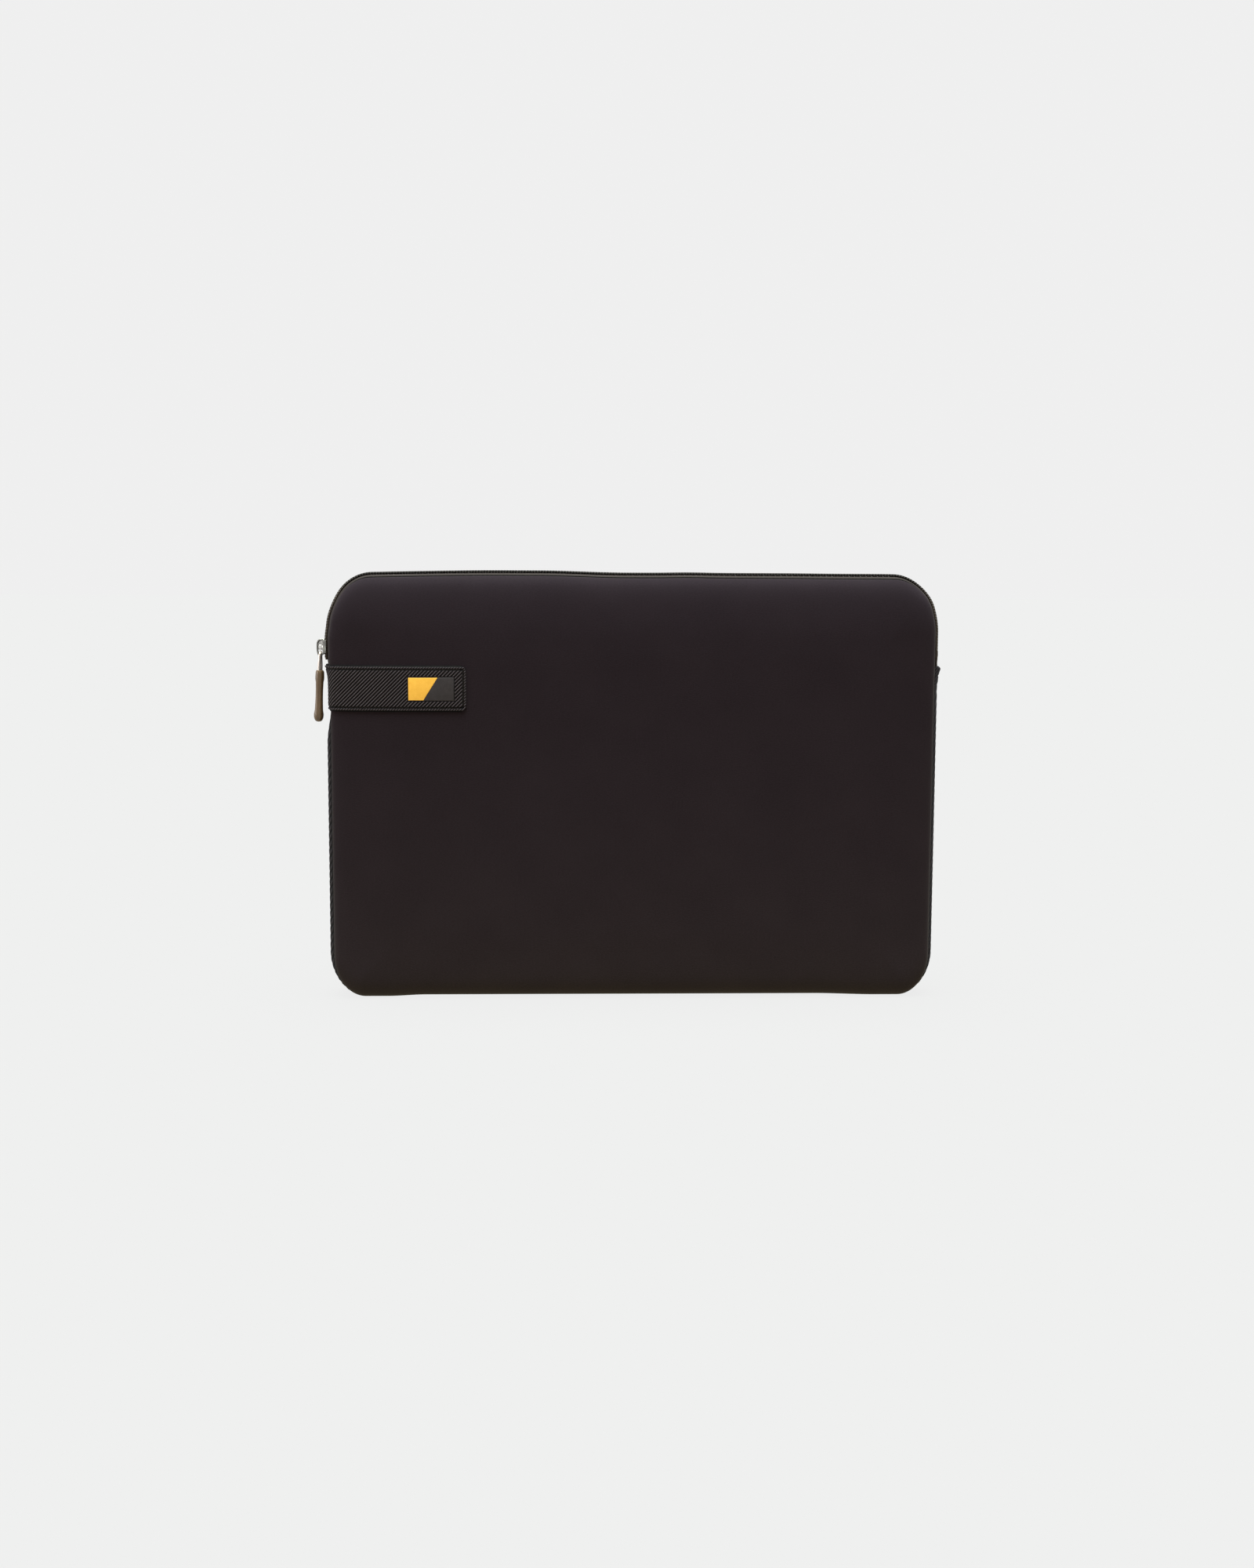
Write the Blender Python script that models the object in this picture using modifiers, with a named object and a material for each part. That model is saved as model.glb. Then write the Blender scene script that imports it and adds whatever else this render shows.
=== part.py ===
"""A padded laptop sleeve, standing on its long bottom edge.

The front of the sleeve faces -Y, +Z is up and +X is to the right as seen from the front.
The origin is the middle of the flat strip of gusset that the sleeve stands on.
All driving dimensions are in millimetres and are turned into metres when a mesh is made.
"""

import math

import bmesh
import bpy
from mathutils import Matrix, Vector

MM = 0.001

# Overall size, over the bulge of the gusset and the zipper
WIDTH = 405.0
HEIGHT = 282.0
R_TOP = (31.0, 39.0)  # half axes, across and up, of the elliptic top corners
R_BOTTOM = (24.5, 28.5)  # and of the bottom corners
CORNER_STEPS = 8

# Depth, measured from the middle plane between front and back
FACE_Y = 20.4  # outer face of the front and back panels
SEAM_Y = 11.0  # seam between a panel and the ring of gusset and zipper
SEAM_IN = 5.2  # how far the seam lies inside the outline at the sides
SEAM_TOP = 4.0  # how far it lies below the top
SEAM_UP = 1.5  # how far the seam lies above the standing face at the bottom
GUSSET_IN = 0.9  # the gusset's middle lies this far inside the outline at the sides
FABRIC_T = 0.8
LINING_T = 0.6
GAP = 0.3  # clearance between pieces that touch

# Where the front panel bends when the mouth is opened, at the two ends of the zipper
HINGE_Z = 221.4

# Zipper
TAPE_T = 0.7
TAPE_IN = 1.8  # the tape beside the coil lies this far inside the outline
COIL_W = 2.2
COIL_H = 1.5
COIL_HALF_GAP = 0.6  # room between the two coils for the slider's post
ZIP_END_Z = HINGE_Z + 0.6
COIL_END_Z = 225.5

# Slider, pull
SLIDER_Z = 232.5
SLIDER_L = 12.0
SLIDER_W = 9.6
PIVOT_N = 4.0  # pull pivot, outside the outline
BRIDGE_N = 7.2  # outer face of the bridge, outside the outline
PIVOT_DZ = -3.0  # pull pivot, from the slider's middle
PULL_TILT = math.radians(2.4)
TAB_FROM = 12.0  # distance of the moulded tab's top from the pivot
TAB_L = 34.1
TAB_T = 5.7
TAB_W = 8.8

# Ribbed patch and its label
PATCH_T = 0.9
PATCH_LOW = 192.3
PATCH_HIGH = 220.7
PATCH_RIGHT = -110.0
LABEL = (-147.6, -117.4, 198.7, 214.2)
LABEL_T = 0.8
END_TAB_LOW = 213.3
END_TAB_HIGH = 221.2
END_TAB_T = 2.0

HALF_W = WIDTH / 2

# (inset at sides, inset at top, inset at bottom, depth) of the panel's outer surface, from the seam inwards
PANEL_RAILS = (
    (SEAM_IN, SEAM_TOP, SEAM_UP, 11.0),
    (5.5, 4.3, 2.2, 13.2),
    (7.2, 6.2, 4.2, 16.2),
    (10.5, 10.5, 8.0, 18.2),
    (15.0, 18.0, 14.0, 19.6),
    (22.0, 28.0, 22.0, FACE_Y),
)
# the same for the foam under it: a convex pad with a flat inner face
PAD_RAILS = (
    (6.9, 5.7, 3.4, 12.4),
    (7.0, 5.8, 3.7, 13.0),
    (8.5, 7.5, 5.5, 15.2),
    (11.4, 11.4, 8.9, 16.9),
    (15.6, 18.4, 14.4, 18.3),
    (22.2, 28.2, 22.2, 19.2),
)


# ---------------------------------------------------------------- scene
for old in list(bpy.data.objects):
    bpy.data.objects.remove(old, do_unlink=True)
SLEEVE = bpy.data.collections.new("laptop_sleeve")
HELPERS = bpy.data.collections.new("helpers")
bpy.context.scene.collection.children.link(SLEEVE)
bpy.context.scene.collection.children.link(HELPERS)


def material(name, colour, roughness, metallic=0.0):
    made = bpy.data.materials.new(name)
    made.use_nodes = True
    shader = made.node_tree.nodes["Principled BSDF"]
    shader.inputs["Base Color"].default_value = (*colour, 1.0)
    shader.inputs["Roughness"].default_value = roughness
    shader.inputs["Metallic"].default_value = metallic
    made.diffuse_color = (*colour, 1.0)
    return made


KNIT = material("black_knit", (0.024, 0.020, 0.021), 0.85)
FOAM = material("grey_foam", (0.20, 0.20, 0.21), 0.95)
LINING = material("grey_lining", (0.09, 0.09, 0.095), 0.9)
RIBBED = material("ribbed_webbing", (0.035, 0.031, 0.030), 0.7)
TAPE = material("zipper_tape", (0.045, 0.039, 0.040), 0.8)
COIL = material("zipper_coil", (0.05, 0.045, 0.045), 0.4)
BINDING = material("binding_tape", (0.03, 0.03, 0.03), 0.85)
NICKEL = material("nickel", (0.62, 0.60, 0.57), 0.32, 1.0)
MOULDED = material("taupe_moulding", (0.16, 0.12, 0.085), 0.5)
LABEL_DARK = material("label_dark", (0.055, 0.048, 0.052), 0.55)
LABEL_AMBER = material("label_amber", (0.86, 0.42, 0.045), 0.5)
THREAD = material("sewing_thread", (0.06, 0.055, 0.055), 0.6)


def finish(obj, mat, helper=False):
    obj.data.materials.clear()
    obj.data.materials.append(mat)
    for users in list(obj.users_collection):
        users.objects.unlink(obj)
    (HELPERS if helper else SLEEVE).objects.link(obj)
    if helper:
        obj.hide_render = True
        obj.display_type = "WIRE"
    return obj


def mesh_object(name, bm, mat, helper=False, smooth=True):
    mesh = bpy.data.meshes.new(name)
    bm.to_mesh(mesh)
    bm.free()
    obj = bpy.data.objects.new(name, mesh)
    if smooth:
        mesh.shade_smooth()
        mesh.set_sharp_from_angle(angle=math.radians(35))
    return finish(obj, mat, helper)


# ---------------------------------------------------------------- outline
def arc(cx, cz, rx, rz, a0, a1, steps=CORNER_STEPS):
    out = []
    for i in range(steps + 1):
        a = math.radians(a0 + (a1 - a0) * i / steps)
        out.append((cx + rx * math.cos(a), cz + rz * math.sin(a)))
    return out


def corner(which, side, top, bottom):
    """One corner of the outline, inset by these amounts, run anticlockwise as seen from the front."""
    tx, tz = R_TOP
    bx, bz = R_BOTTOM
    if which == "bottom_right":
        return arc(HALF_W - bx, bz, bx - side, bz - bottom, -90, 0)
    if which == "top_right":
        return arc(HALF_W - tx, HEIGHT - tz, tx - side, tz - top, 0, 90)
    if which == "top_left":
        return arc(tx - HALF_W, HEIGHT - tz, tx - side, tz - top, 90, 180)
    return arc(bx - HALF_W, bz, bx - side, bz - bottom, 180, 270)


def ring(side, top, bottom):
    """The whole outline, closed."""
    return (
        corner("bottom_right", side, top, bottom)
        + corner("top_right", side, top, bottom)
        + corner("top_left", side, top, bottom)
        + corner("bottom_left", side, top, bottom)
    )


def arch(side, top, end_z):
    """The part of the outline that the zipper follows, from its right end over the top to its left end."""
    x = HALF_W - side
    return (
        [(x, end_z)]
        + corner("top_right", side, top, 0)
        + corner("top_left", side, top, 0)
        + [(-x, end_z)]
    )


def cradle(side, bottom, end_z):
    """The part below the zipper, from the left end under the bottom to the right end."""
    x = HALF_W - side
    return (
        [(-x, end_z)]
        + corner("bottom_left", side, 0, bottom)
        + corner("bottom_right", side, 0, bottom)
        + [(x, end_z)]
    )


def lower_part(points, z):
    """The polygon points below z, cut straight across."""
    return cut(points, z, keep_low=True)


def upper_part(points, z):
    return cut(points, z, keep_low=False)


def cut(points, z, keep_low):
    kept = []
    for (x0, z0), (x1, z1) in zip(points, points[1:] + points[:1]):
        in0, in1 = (z0 <= z) == keep_low, (z1 <= z) == keep_low
        if in0:
            kept.append((x0, z0))
        if in0 != in1:
            t = (z - z0) / (z1 - z0)
            kept.append((x0 + (x1 - x0) * t, z))
    return kept


# ---------------------------------------------------------------- builders
def loft(rails, closed, flip):
    """Quads between rails of equal point count. A rail is a list of (x, y, z) in millimetres."""
    bm = bmesh.new()
    rows = [[bm.verts.new(Vector(p) * MM) for p in rail] for rail in rails]
    count = len(rows[0])
    for a, b in zip(rows, rows[1:]):
        for i in range(count if closed else count - 1):
            j = (i + 1) % count
            quad = (a[i], a[j], b[j], b[i])
            bm.faces.new(quad[::-1] if flip else quad)
    return bm, rows


def fill(bm, row, flip):
    bm.faces.new(row[::-1] if flip else row)


def solidify(obj, thickness, outward=False):
    shell = obj.modifiers.new("wall", "SOLIDIFY")
    shell.thickness = thickness * MM
    shell.offset = 1.0 if outward else -1.0
    shell.use_even_offset = True
    return obj


def keep_side(bm, z, low, close):
    """Cuts the mesh at height z and keeps the low or the high side."""
    bmesh.ops.bisect_plane(
        bm,
        geom=bm.verts[:] + bm.edges[:] + bm.faces[:],
        dist=1e-7,
        plane_co=(0, 0, z * MM),
        plane_no=(0, 0, 1),
        clear_outer=low,
        clear_inner=not low,
    )
    if close:
        rim = [e for e in bm.edges if len(e.link_faces) == 1]
        bmesh.ops.holes_fill(bm, edges=rim, sides=0)
        bmesh.ops.recalc_face_normals(bm, faces=bm.faces[:])


def panel_skin(name, sign, cut_at=None):
    """The outer fabric of a panel: a shallow dish from its seam to its flat middle. sign -1 is the front."""
    rails = [[(x, sign * y, z) for x, z in ring(s, t, b)] for s, t, b, y in PANEL_RAILS]
    bm, rows = loft(rails, True, sign > 0)
    fill(bm, rows[-1], sign > 0)
    if cut_at:
        keep_side(bm, *cut_at, close=False)
    return solidify(mesh_object(name, bm, KNIT), FABRIC_T)


def panel_pad(name, sign, cut_at=None):
    """The foam of a panel: convex, with a flat face towards the pocket."""
    rails = [[(x, sign * y, z) for x, z in ring(s, t, b)] for s, t, b, y in PAD_RAILS]
    bm, rows = loft(rails, True, sign > 0)
    fill(bm, rows[-1], sign > 0)
    fill(bm, rows[0], sign < 0)
    if cut_at:
        keep_side(bm, *cut_at, close=True)
    return mesh_object(name, bm, FOAM)


def flat_sheet(name, points, y, thickness, mat):
    """A flat outline in the XZ plane with a thickness along Y: a filled 2D curve, extruded."""
    curve = bpy.data.curves.new(name, "CURVE")
    curve.dimensions = "2D"
    curve.fill_mode = "BOTH"
    curve.extrude = thickness / 2 * MM
    spline = curve.splines.new("POLY")
    spline.points.add(len(points) - 1)
    for point, (x, z) in zip(spline.points, points):
        point.co = (x * MM, z * MM, 0, 1)
    spline.use_cyclic_u = True
    obj = bpy.data.objects.new(name, curve)
    obj.location = (0, y * MM, 0)
    obj.rotation_euler = (math.pi / 2, 0, 0)
    return finish(obj, mat)


def cord_profile(name, width, height):
    """A six-sided section with chamfered upper corners, used as a bevel object."""
    w, h, c = width / 2 * MM, height / 2 * MM, min(width, height) * 0.25 * MM
    curve = bpy.data.curves.new(name, "CURVE")
    curve.dimensions = "2D"
    spline = curve.splines.new("POLY")
    shape = [(-h, w), (h - c, w), (h, w - c), (h, c - w), (h - c, -w), (-h, -w)]
    spline.points.add(len(shape) - 1)
    for point, (x, y) in zip(spline.points, shape):
        point.co = (x, y, 0, 1)
    spline.use_cyclic_u = True
    return finish(bpy.data.objects.new(name, curve), BINDING, helper=True)


def swept(name, points, y, profile, mat, cyclic=False):
    """A strip of constant section along a flat path in the XZ plane."""
    curve = bpy.data.curves.new(name, "CURVE")
    curve.dimensions = "3D"
    curve.twist_mode = "Z_UP"
    curve.fill_mode = "FULL"
    curve.bevel_mode = "OBJECT"
    curve.bevel_object = profile
    curve.use_fill_caps = not cyclic
    spline = curve.splines.new("POLY")
    spline.points.add(len(points) - 1)
    for point, (x, z) in zip(spline.points, points):
        point.co = (x * MM, z * MM, 0, 1)
    spline.use_cyclic_u = cyclic
    obj = bpy.data.objects.new(name, curve)
    obj.location = (0, y * MM, 0)
    obj.rotation_euler = (math.pi / 2, 0, 0)
    return finish(obj, mat)


def block(name, size, at, mat, bevel=0.0, helper=False, segments=2):
    """A box of this size in millimetres, with rounded edges."""
    bm = bmesh.new()
    bmesh.ops.create_cube(bm, size=1.0)
    bmesh.ops.scale(bm, vec=Vector(size) * MM, verts=bm.verts)
    obj = mesh_object(name, bm, mat, helper, smooth=False)
    obj.location = Vector(at) * MM
    if bevel:
        edge = obj.modifiers.new("edges", "BEVEL")
        edge.width = bevel * MM
        edge.segments = segments
        edge.limit_method = "ANGLE"
    return obj


def boolean(obj, other, operation):
    change = obj.modifiers.new(operation.lower(), "BOOLEAN")
    change.operation = operation
    change.object = other
    change.solver = "EXACT"


# ---------------------------------------------------------------- back half
panel_skin("back_outer_fabric", 1)
panel_pad("back_foam_pad", 1)
LINING_Y = PAD_RAILS[0][3] - GAP - LINING_T / 2
flat_sheet("back_lining", ring(7.4, 6.2, 4.0), LINING_Y, LINING_T, LINING)

# ---------------------------------------------------------------- front half, below and above the bend
panel_skin("front_outer_fabric", -1, (HINGE_Z - GAP / 2, True))
panel_skin("flap_outer_fabric", -1, (HINGE_Z + GAP / 2, False))
panel_pad("front_foam_pad", -1, (HINGE_Z - GAP / 2, True))
panel_pad("flap_foam_pad", -1, (HINGE_Z + GAP / 2, False))
flat_sheet("front_lining", lower_part(ring(7.4, 6.2, 4.0), HINGE_Z - GAP / 2), -LINING_Y, LINING_T, LINING)
flat_sheet("flap_lining", upper_part(ring(7.4, 6.2, 4.0), HINGE_Z + GAP / 2), -LINING_Y, LINING_T, LINING)


# ---------------------------------------------------------------- ring: gusset below, zipper above
def bulge(y, middle, edge):
    """How far the ring's outer surface lies inside the outline at depth y."""
    share = min(1.0, abs(y) / SEAM_Y)
    return middle + (edge - middle) * (1 - math.sqrt(1 - share * share * 0.96)) / 0.8


gusset_rails = []
for y in (-10.6, -8.6, -5.5, -2.0, 2.0, 5.5, 8.6, 10.6):
    side = bulge(y, GUSSET_IN, SEAM_IN)
    under = SEAM_UP if abs(y) > 9 else 0.0
    gusset_rails.append([(x, y, z) for x, z in cradle(side, under, HINGE_Z - 0.8)])
bm, _ = loft(gusset_rails, False, True)
solidify(mesh_object("side_gusset", bm, RIBBED), 1.6)


def zipper_tape(name, sign):
    rails = []
    for y in sorted(sign * d for d in (0.8, 3.4, 6.5, 9.0, 10.6)):
        side = TAPE_IN + (SEAM_IN - TAPE_IN) * (y / SEAM_Y) ** 2
        top = TAPE_IN + (SEAM_TOP - TAPE_IN) * (y / SEAM_Y) ** 2
        rails.append([(x, y, z) for x, z in arch(side, top, ZIP_END_Z)])
    made, _ = loft(rails, False, True)
    return solidify(mesh_object(name, made, TAPE), TAPE_T)


zipper_tape("zipper_tape_front", -1)
zipper_tape("zipper_tape_back", 1)
coil_profile = cord_profile("coil_profile", COIL_W, COIL_H)
coil_path = arch(COIL_H / 2, COIL_H / 2, COIL_END_Z)
COIL_Y = COIL_HALF_GAP + COIL_W / 2
swept("zipper_coil_front", coil_path, -COIL_Y, coil_profile, COIL)
swept("zipper_coil_back", coil_path, COIL_Y, coil_profile, COIL)

# binding tape over the raw seam edges, inside the pocket
binding_profile = cord_profile("binding_profile", 1.6, 3.0)
BINDING_Y = LINING_Y - LINING_T / 2 - GAP - 0.8
swept("back_binding", ring(8.1, 6.9, 5.0), BINDING_Y, binding_profile, BINDING, cyclic=True)
swept("front_binding", cradle(8.1, 5.0, HINGE_Z - 0.4), -BINDING_Y, binding_profile, BINDING)
swept("flap_binding", arch(8.1, 6.9, HINGE_Z + 0.4), -BINDING_Y, binding_profile, BINDING)

# ---------------------------------------------------------------- ribbed patch, round the left edge
patch_section = [(HALF_W + PATCH_RIGHT, -FACE_Y - GAP)]
patch_section += [(22.0, -FACE_Y - GAP), (15.0, -19.93), (10.36, -18.53), (6.94, -16.46), (5.1, -13.26), (4.0, -10.7)]
patch_section += [(bulge(y, GUSSET_IN, SEAM_IN) - GAP, y) for y in (-8.6, -5.5, -2.0, 2.0, 5.5, 8.6, 10.6)]
patch_rails = [[(inset - HALF_W, y, z) for inset, y in patch_section] for z in (PATCH_LOW, PATCH_HIGH)]
bm, rows = loft(patch_rails, False, True)
bm.verts.ensure_lookup_table()
bmesh.ops.bevel(
    bm, geom=[row[0] for row in rows], offset=3.0 * MM, segments=3, affect="VERTICES", profile=0.5
)
solidify(mesh_object("side_patch", bm, RIBBED), PATCH_T, outward=True)

# a thread line round the patch's edge
STITCH_Y = -FACE_Y - GAP - PATCH_T - GAP - 0.25
left, right, low, high, r = -176.0, PATCH_RIGHT - 1.7, PATCH_LOW + 1.7, PATCH_HIGH - 1.7, 2.0
stitch_path = [(left, low), (right - r, low)]
stitch_path += arc(right - r, low + r, r, r, -90, 0, 3)[1:]
stitch_path += arc(right - r, high - r, r, r, 0, 90, 3)
stitch_path += [(left, high)]
curve = bpy.data.curves.new("patch_stitching", "CURVE")
curve.dimensions = "3D"
curve.bevel_depth = 0.25 * MM
curve.bevel_resolution = 2
curve.use_fill_caps = True
spline = curve.splines.new("POLY")
spline.points.add(len(stitch_path) - 1)
for point, (x, z) in zip(spline.points, stitch_path):
    point.co = (x * MM, STITCH_Y * MM, z * MM, 1)
finish(bpy.data.objects.new("patch_stitching", curve), THREAD)

# the label: two plain fields that meet on a slanting line
LABEL_Y = -FACE_Y - GAP - PATCH_T - GAP - LABEL_T / 2
x0, x1, z0, z1 = LABEL
SLANT_LOW, SLANT_HIGH = x0 + 9.0, x0 + 18.0
flat_sheet("label_accent", [(x0, z0), (SLANT_LOW, z0), (SLANT_HIGH, z1), (x0, z1)], LABEL_Y, LABEL_T, LABEL_AMBER)
flat_sheet(
    "label_base", [(SLANT_LOW + GAP, z0), (x1, z0), (x1, z1), (SLANT_HIGH + GAP, z1)], LABEL_Y, LABEL_T, LABEL_DARK
)

# the folded end of the gusset over the zipper's right end
tab_section = [(bulge(y, GUSSET_IN, SEAM_IN) - GAP, y) for y in (-10.6, -8.6, -5.5, -2.0, 2.0, 5.5, 8.6, 10.6)]
tab_rails = [[(HALF_W - inset, y, z) for inset, y in tab_section] for z in (END_TAB_LOW, END_TAB_HIGH)]
bm, _ = loft(tab_rails, False, False)
solidify(mesh_object("zipper_end_tab", bm, RIBBED), END_TAB_T, outward=True)

# ---------------------------------------------------------------- slider, on the left run of the zipper
slider = bpy.data.objects.new("slider_carrier", None)
slider.location = (-HALF_W * MM, 0, SLIDER_Z * MM)
SLEEVE.objects.link(slider)


def on_slider(obj):
    obj.parent = slider
    return obj


# outer plate, inner plate and the post that joins them at the end that leads when the zipper closes
outer = on_slider(block("slider_body", (1.3, SLIDER_W, SLIDER_L), (-1.05, 0, 0), NICKEL, bevel=0.35))
inner = on_slider(block("slider_inner_plate", (1.1, SLIDER_W, SLIDER_L), (4.4, 0, 0), NICKEL, 0.3, helper=True))
post = on_slider(block("slider_post", (5.6, 0.9, 2.8), (1.75, 0, -4.2), NICKEL, helper=True))
boolean(outer, post, "UNION")
boolean(outer, inner, "UNION")

# the bridge that the pull hangs from, an arch along the outer plate
bridge_path = [(2.3, -5.2), (BRIDGE_N - 2.15, -5.2)]
bridge_path += [(BRIDGE_N - 2.15 + 1.6 * math.sin(a), -3.6 - 1.6 * math.cos(a)) for a in (math.pi / 6, math.pi / 3, math.pi / 2)]
bridge_path += [(n, -z) for n, z in reversed(bridge_path)]
bridge_profile = cord_profile("bridge_profile", 3.0, 1.1)
curve = bpy.data.curves.new("slider_bridge", "CURVE")
curve.dimensions = "3D"
curve.twist_mode = "Z_UP"
curve.bevel_mode = "OBJECT"
curve.bevel_object = bridge_profile
curve.use_fill_caps = True
spline = curve.splines.new("POLY")
spline.points.add(len(bridge_path) - 1)
for point, (n, z) in zip(spline.points, bridge_path):
    point.co = (-n * MM, z * MM, 0, 1)
bridge = on_slider(finish(bpy.data.objects.new("slider_bridge", curve), NICKEL))
bridge.rotation_euler = (math.pi / 2, 0, 0)

# ---------------------------------------------------------------- pull, hanging from the bridge
pull = bpy.data.objects.new("pull_pivot", None)
pull.location = (-PIVOT_N * MM, 0, PIVOT_DZ * MM)
pull.rotation_euler = (0, PULL_TILT, 0)
pull.parent = slider
SLEEVE.objects.link(pull)


def on_pull(obj):
    obj.parent = pull
    return obj


LINK_L = 20.4
link = on_pull(block("pull_link", (1.4, 6.6, LINK_L), (0, 0, 0.7 - LINK_L / 2), NICKEL, bevel=0.3))
window = on_pull(block("link_window", (4.0, 3.9, 8.8), (0, 0, -0.7 - 4.4), NICKEL, helper=True))
boolean(link, window, "DIFFERENCE")

# moulded tab: a tapered block with a socket for the link
bm = bmesh.new()
bmesh.ops.create_cube(bm, size=1.0)
bmesh.ops.subdivide_edges(
    bm, edges=[e for e in bm.edges if abs(e.verts[0].co.z - e.verts[1].co.z) > 0.5], cuts=5, use_grid_fill=True
)
for v in bm.verts:
    down = 0.5 - v.co.z
    flare = 1.0 - 0.07 * math.sin(math.pi * min(1.0, down / 0.75)) + 0.16 * max(0.0, (down - 0.45) / 0.55) ** 1.5
    v.co = Vector((v.co.x * TAB_T * flare, v.co.y * TAB_W * flare, -TAB_FROM - down * TAB_L)) * MM
tab = on_pull(mesh_object("pull_tab", bm, MOULDED))
edge = tab.modifiers.new("edges", "BEVEL")
edge.width = 1.7 * MM
edge.segments = 3
edge.limit_method = "ANGLE"
edge.angle_limit = math.radians(40)
socket = on_pull(block("tab_socket", (2.0, 7.2, 8.2 + 4.0), (0, 0, -TAB_FROM - 8.2 / 2 + 4.0 / 2), NICKEL, helper=True))
boolean(tab, socket, "DIFFERENCE")
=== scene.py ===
"""The looks of a padded laptop sleeve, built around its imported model.

All lengths in this script are in millimetres until a mesh is made. The front faces -Y, +Z is up.
"""

import math

import bmesh
import bpy
import numpy as np
from mathutils import Matrix, Vector


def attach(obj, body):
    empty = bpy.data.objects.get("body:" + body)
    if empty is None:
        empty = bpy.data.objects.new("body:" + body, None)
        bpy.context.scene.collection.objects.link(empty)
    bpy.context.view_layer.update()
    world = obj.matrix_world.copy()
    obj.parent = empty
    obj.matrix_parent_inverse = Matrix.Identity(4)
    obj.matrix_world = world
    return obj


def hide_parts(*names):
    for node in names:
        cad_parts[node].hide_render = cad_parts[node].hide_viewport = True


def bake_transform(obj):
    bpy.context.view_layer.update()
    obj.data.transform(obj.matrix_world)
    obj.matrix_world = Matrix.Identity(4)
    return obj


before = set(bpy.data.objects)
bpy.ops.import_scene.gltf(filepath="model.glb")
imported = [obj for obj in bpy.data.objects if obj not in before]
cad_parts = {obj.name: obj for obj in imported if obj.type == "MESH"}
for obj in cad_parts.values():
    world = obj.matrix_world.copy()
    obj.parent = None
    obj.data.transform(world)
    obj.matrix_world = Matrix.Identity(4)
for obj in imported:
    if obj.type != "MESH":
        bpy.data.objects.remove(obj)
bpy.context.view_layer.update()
SCENE = bpy.context.scene
MM = 0.001
TAU = 2 * math.pi

# ---------------------------------------------------------------- sizes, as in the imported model
W2, H = 202.5, 281.3
LIFT = 0.95  # the sleeve stands on both ends of its bottom edge, and the rest is this much higher
RT, RB = (31.0, 39.0), (24.5, 28.5)  # half axes of the top and bottom corners
ZIP_END_Z, COIL_END_Z = 221.1, 223.6
GUSSET_END_Z = 219.8
PATCH_LOW, PATCH_HIGH, PATCH_RIGHT = 191.3, 220.0, -109.6
LABEL = (-147.6, -117.4, 197.75, 213.3)
TOOTH = 1.884  # pitch of the zipper's coils
RIB = 2.39  # pitch of the patch's ribs along its edge
GUSSET_RIB = 5.28  # pitch of the gusset's broader ribs along its edge
SLIDER_AT = (-W2 - 0.4, 0.0, 232.5)
PIVOT_AT = (-206.5, 0.0, 229.5)
PULL_TILT = math.radians(2.4)


# ---------------------------------------------------------------- camera
def look():
    pitch, yaw, roll = (math.radians(a) for a in (6.56, 1.89, 0.238))
    back = Vector((-math.sin(yaw) * math.cos(pitch), -math.cos(yaw) * math.cos(pitch), math.sin(pitch)))
    right = Vector((math.cos(yaw), -math.sin(yaw), 0.0))
    up = back.cross(right)
    right, up = right * math.cos(roll) + up * math.sin(roll), up * math.cos(roll) - right * math.sin(roll)
    at = Vector((-0.00396, 0.0, 0.14195)) + back * 1.2
    data = bpy.data.cameras.new("camera")
    data.sensor_width = 36.0
    data.lens = 36.0 * (1200.0 / 0.524) / 2000.0
    data.clip_start, data.clip_end = 0.05, 60.0
    cam = bpy.data.objects.new("camera", data)
    SCENE.collection.objects.link(cam)
    cam.matrix_world = Matrix((
        (right.x, up.x, back.x, at.x),
        (right.y, up.y, back.y, at.y),
        (right.z, up.z, back.z, at.z),
        (0, 0, 0, 1),
    ))
    SCENE.camera = cam


look()


# ---------------------------------------------------------------- materials
def shader(name):
    made = bpy.data.materials.new(name)
    made.use_nodes = True
    tree = made.node_tree
    tree.nodes.clear()
    out = tree.nodes.new("ShaderNodeOutputMaterial")
    bsdf = tree.nodes.new("ShaderNodeBsdfPrincipled")
    tree.links.new(bsdf.outputs[0], out.inputs[0])
    return made, tree, bsdf


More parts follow.
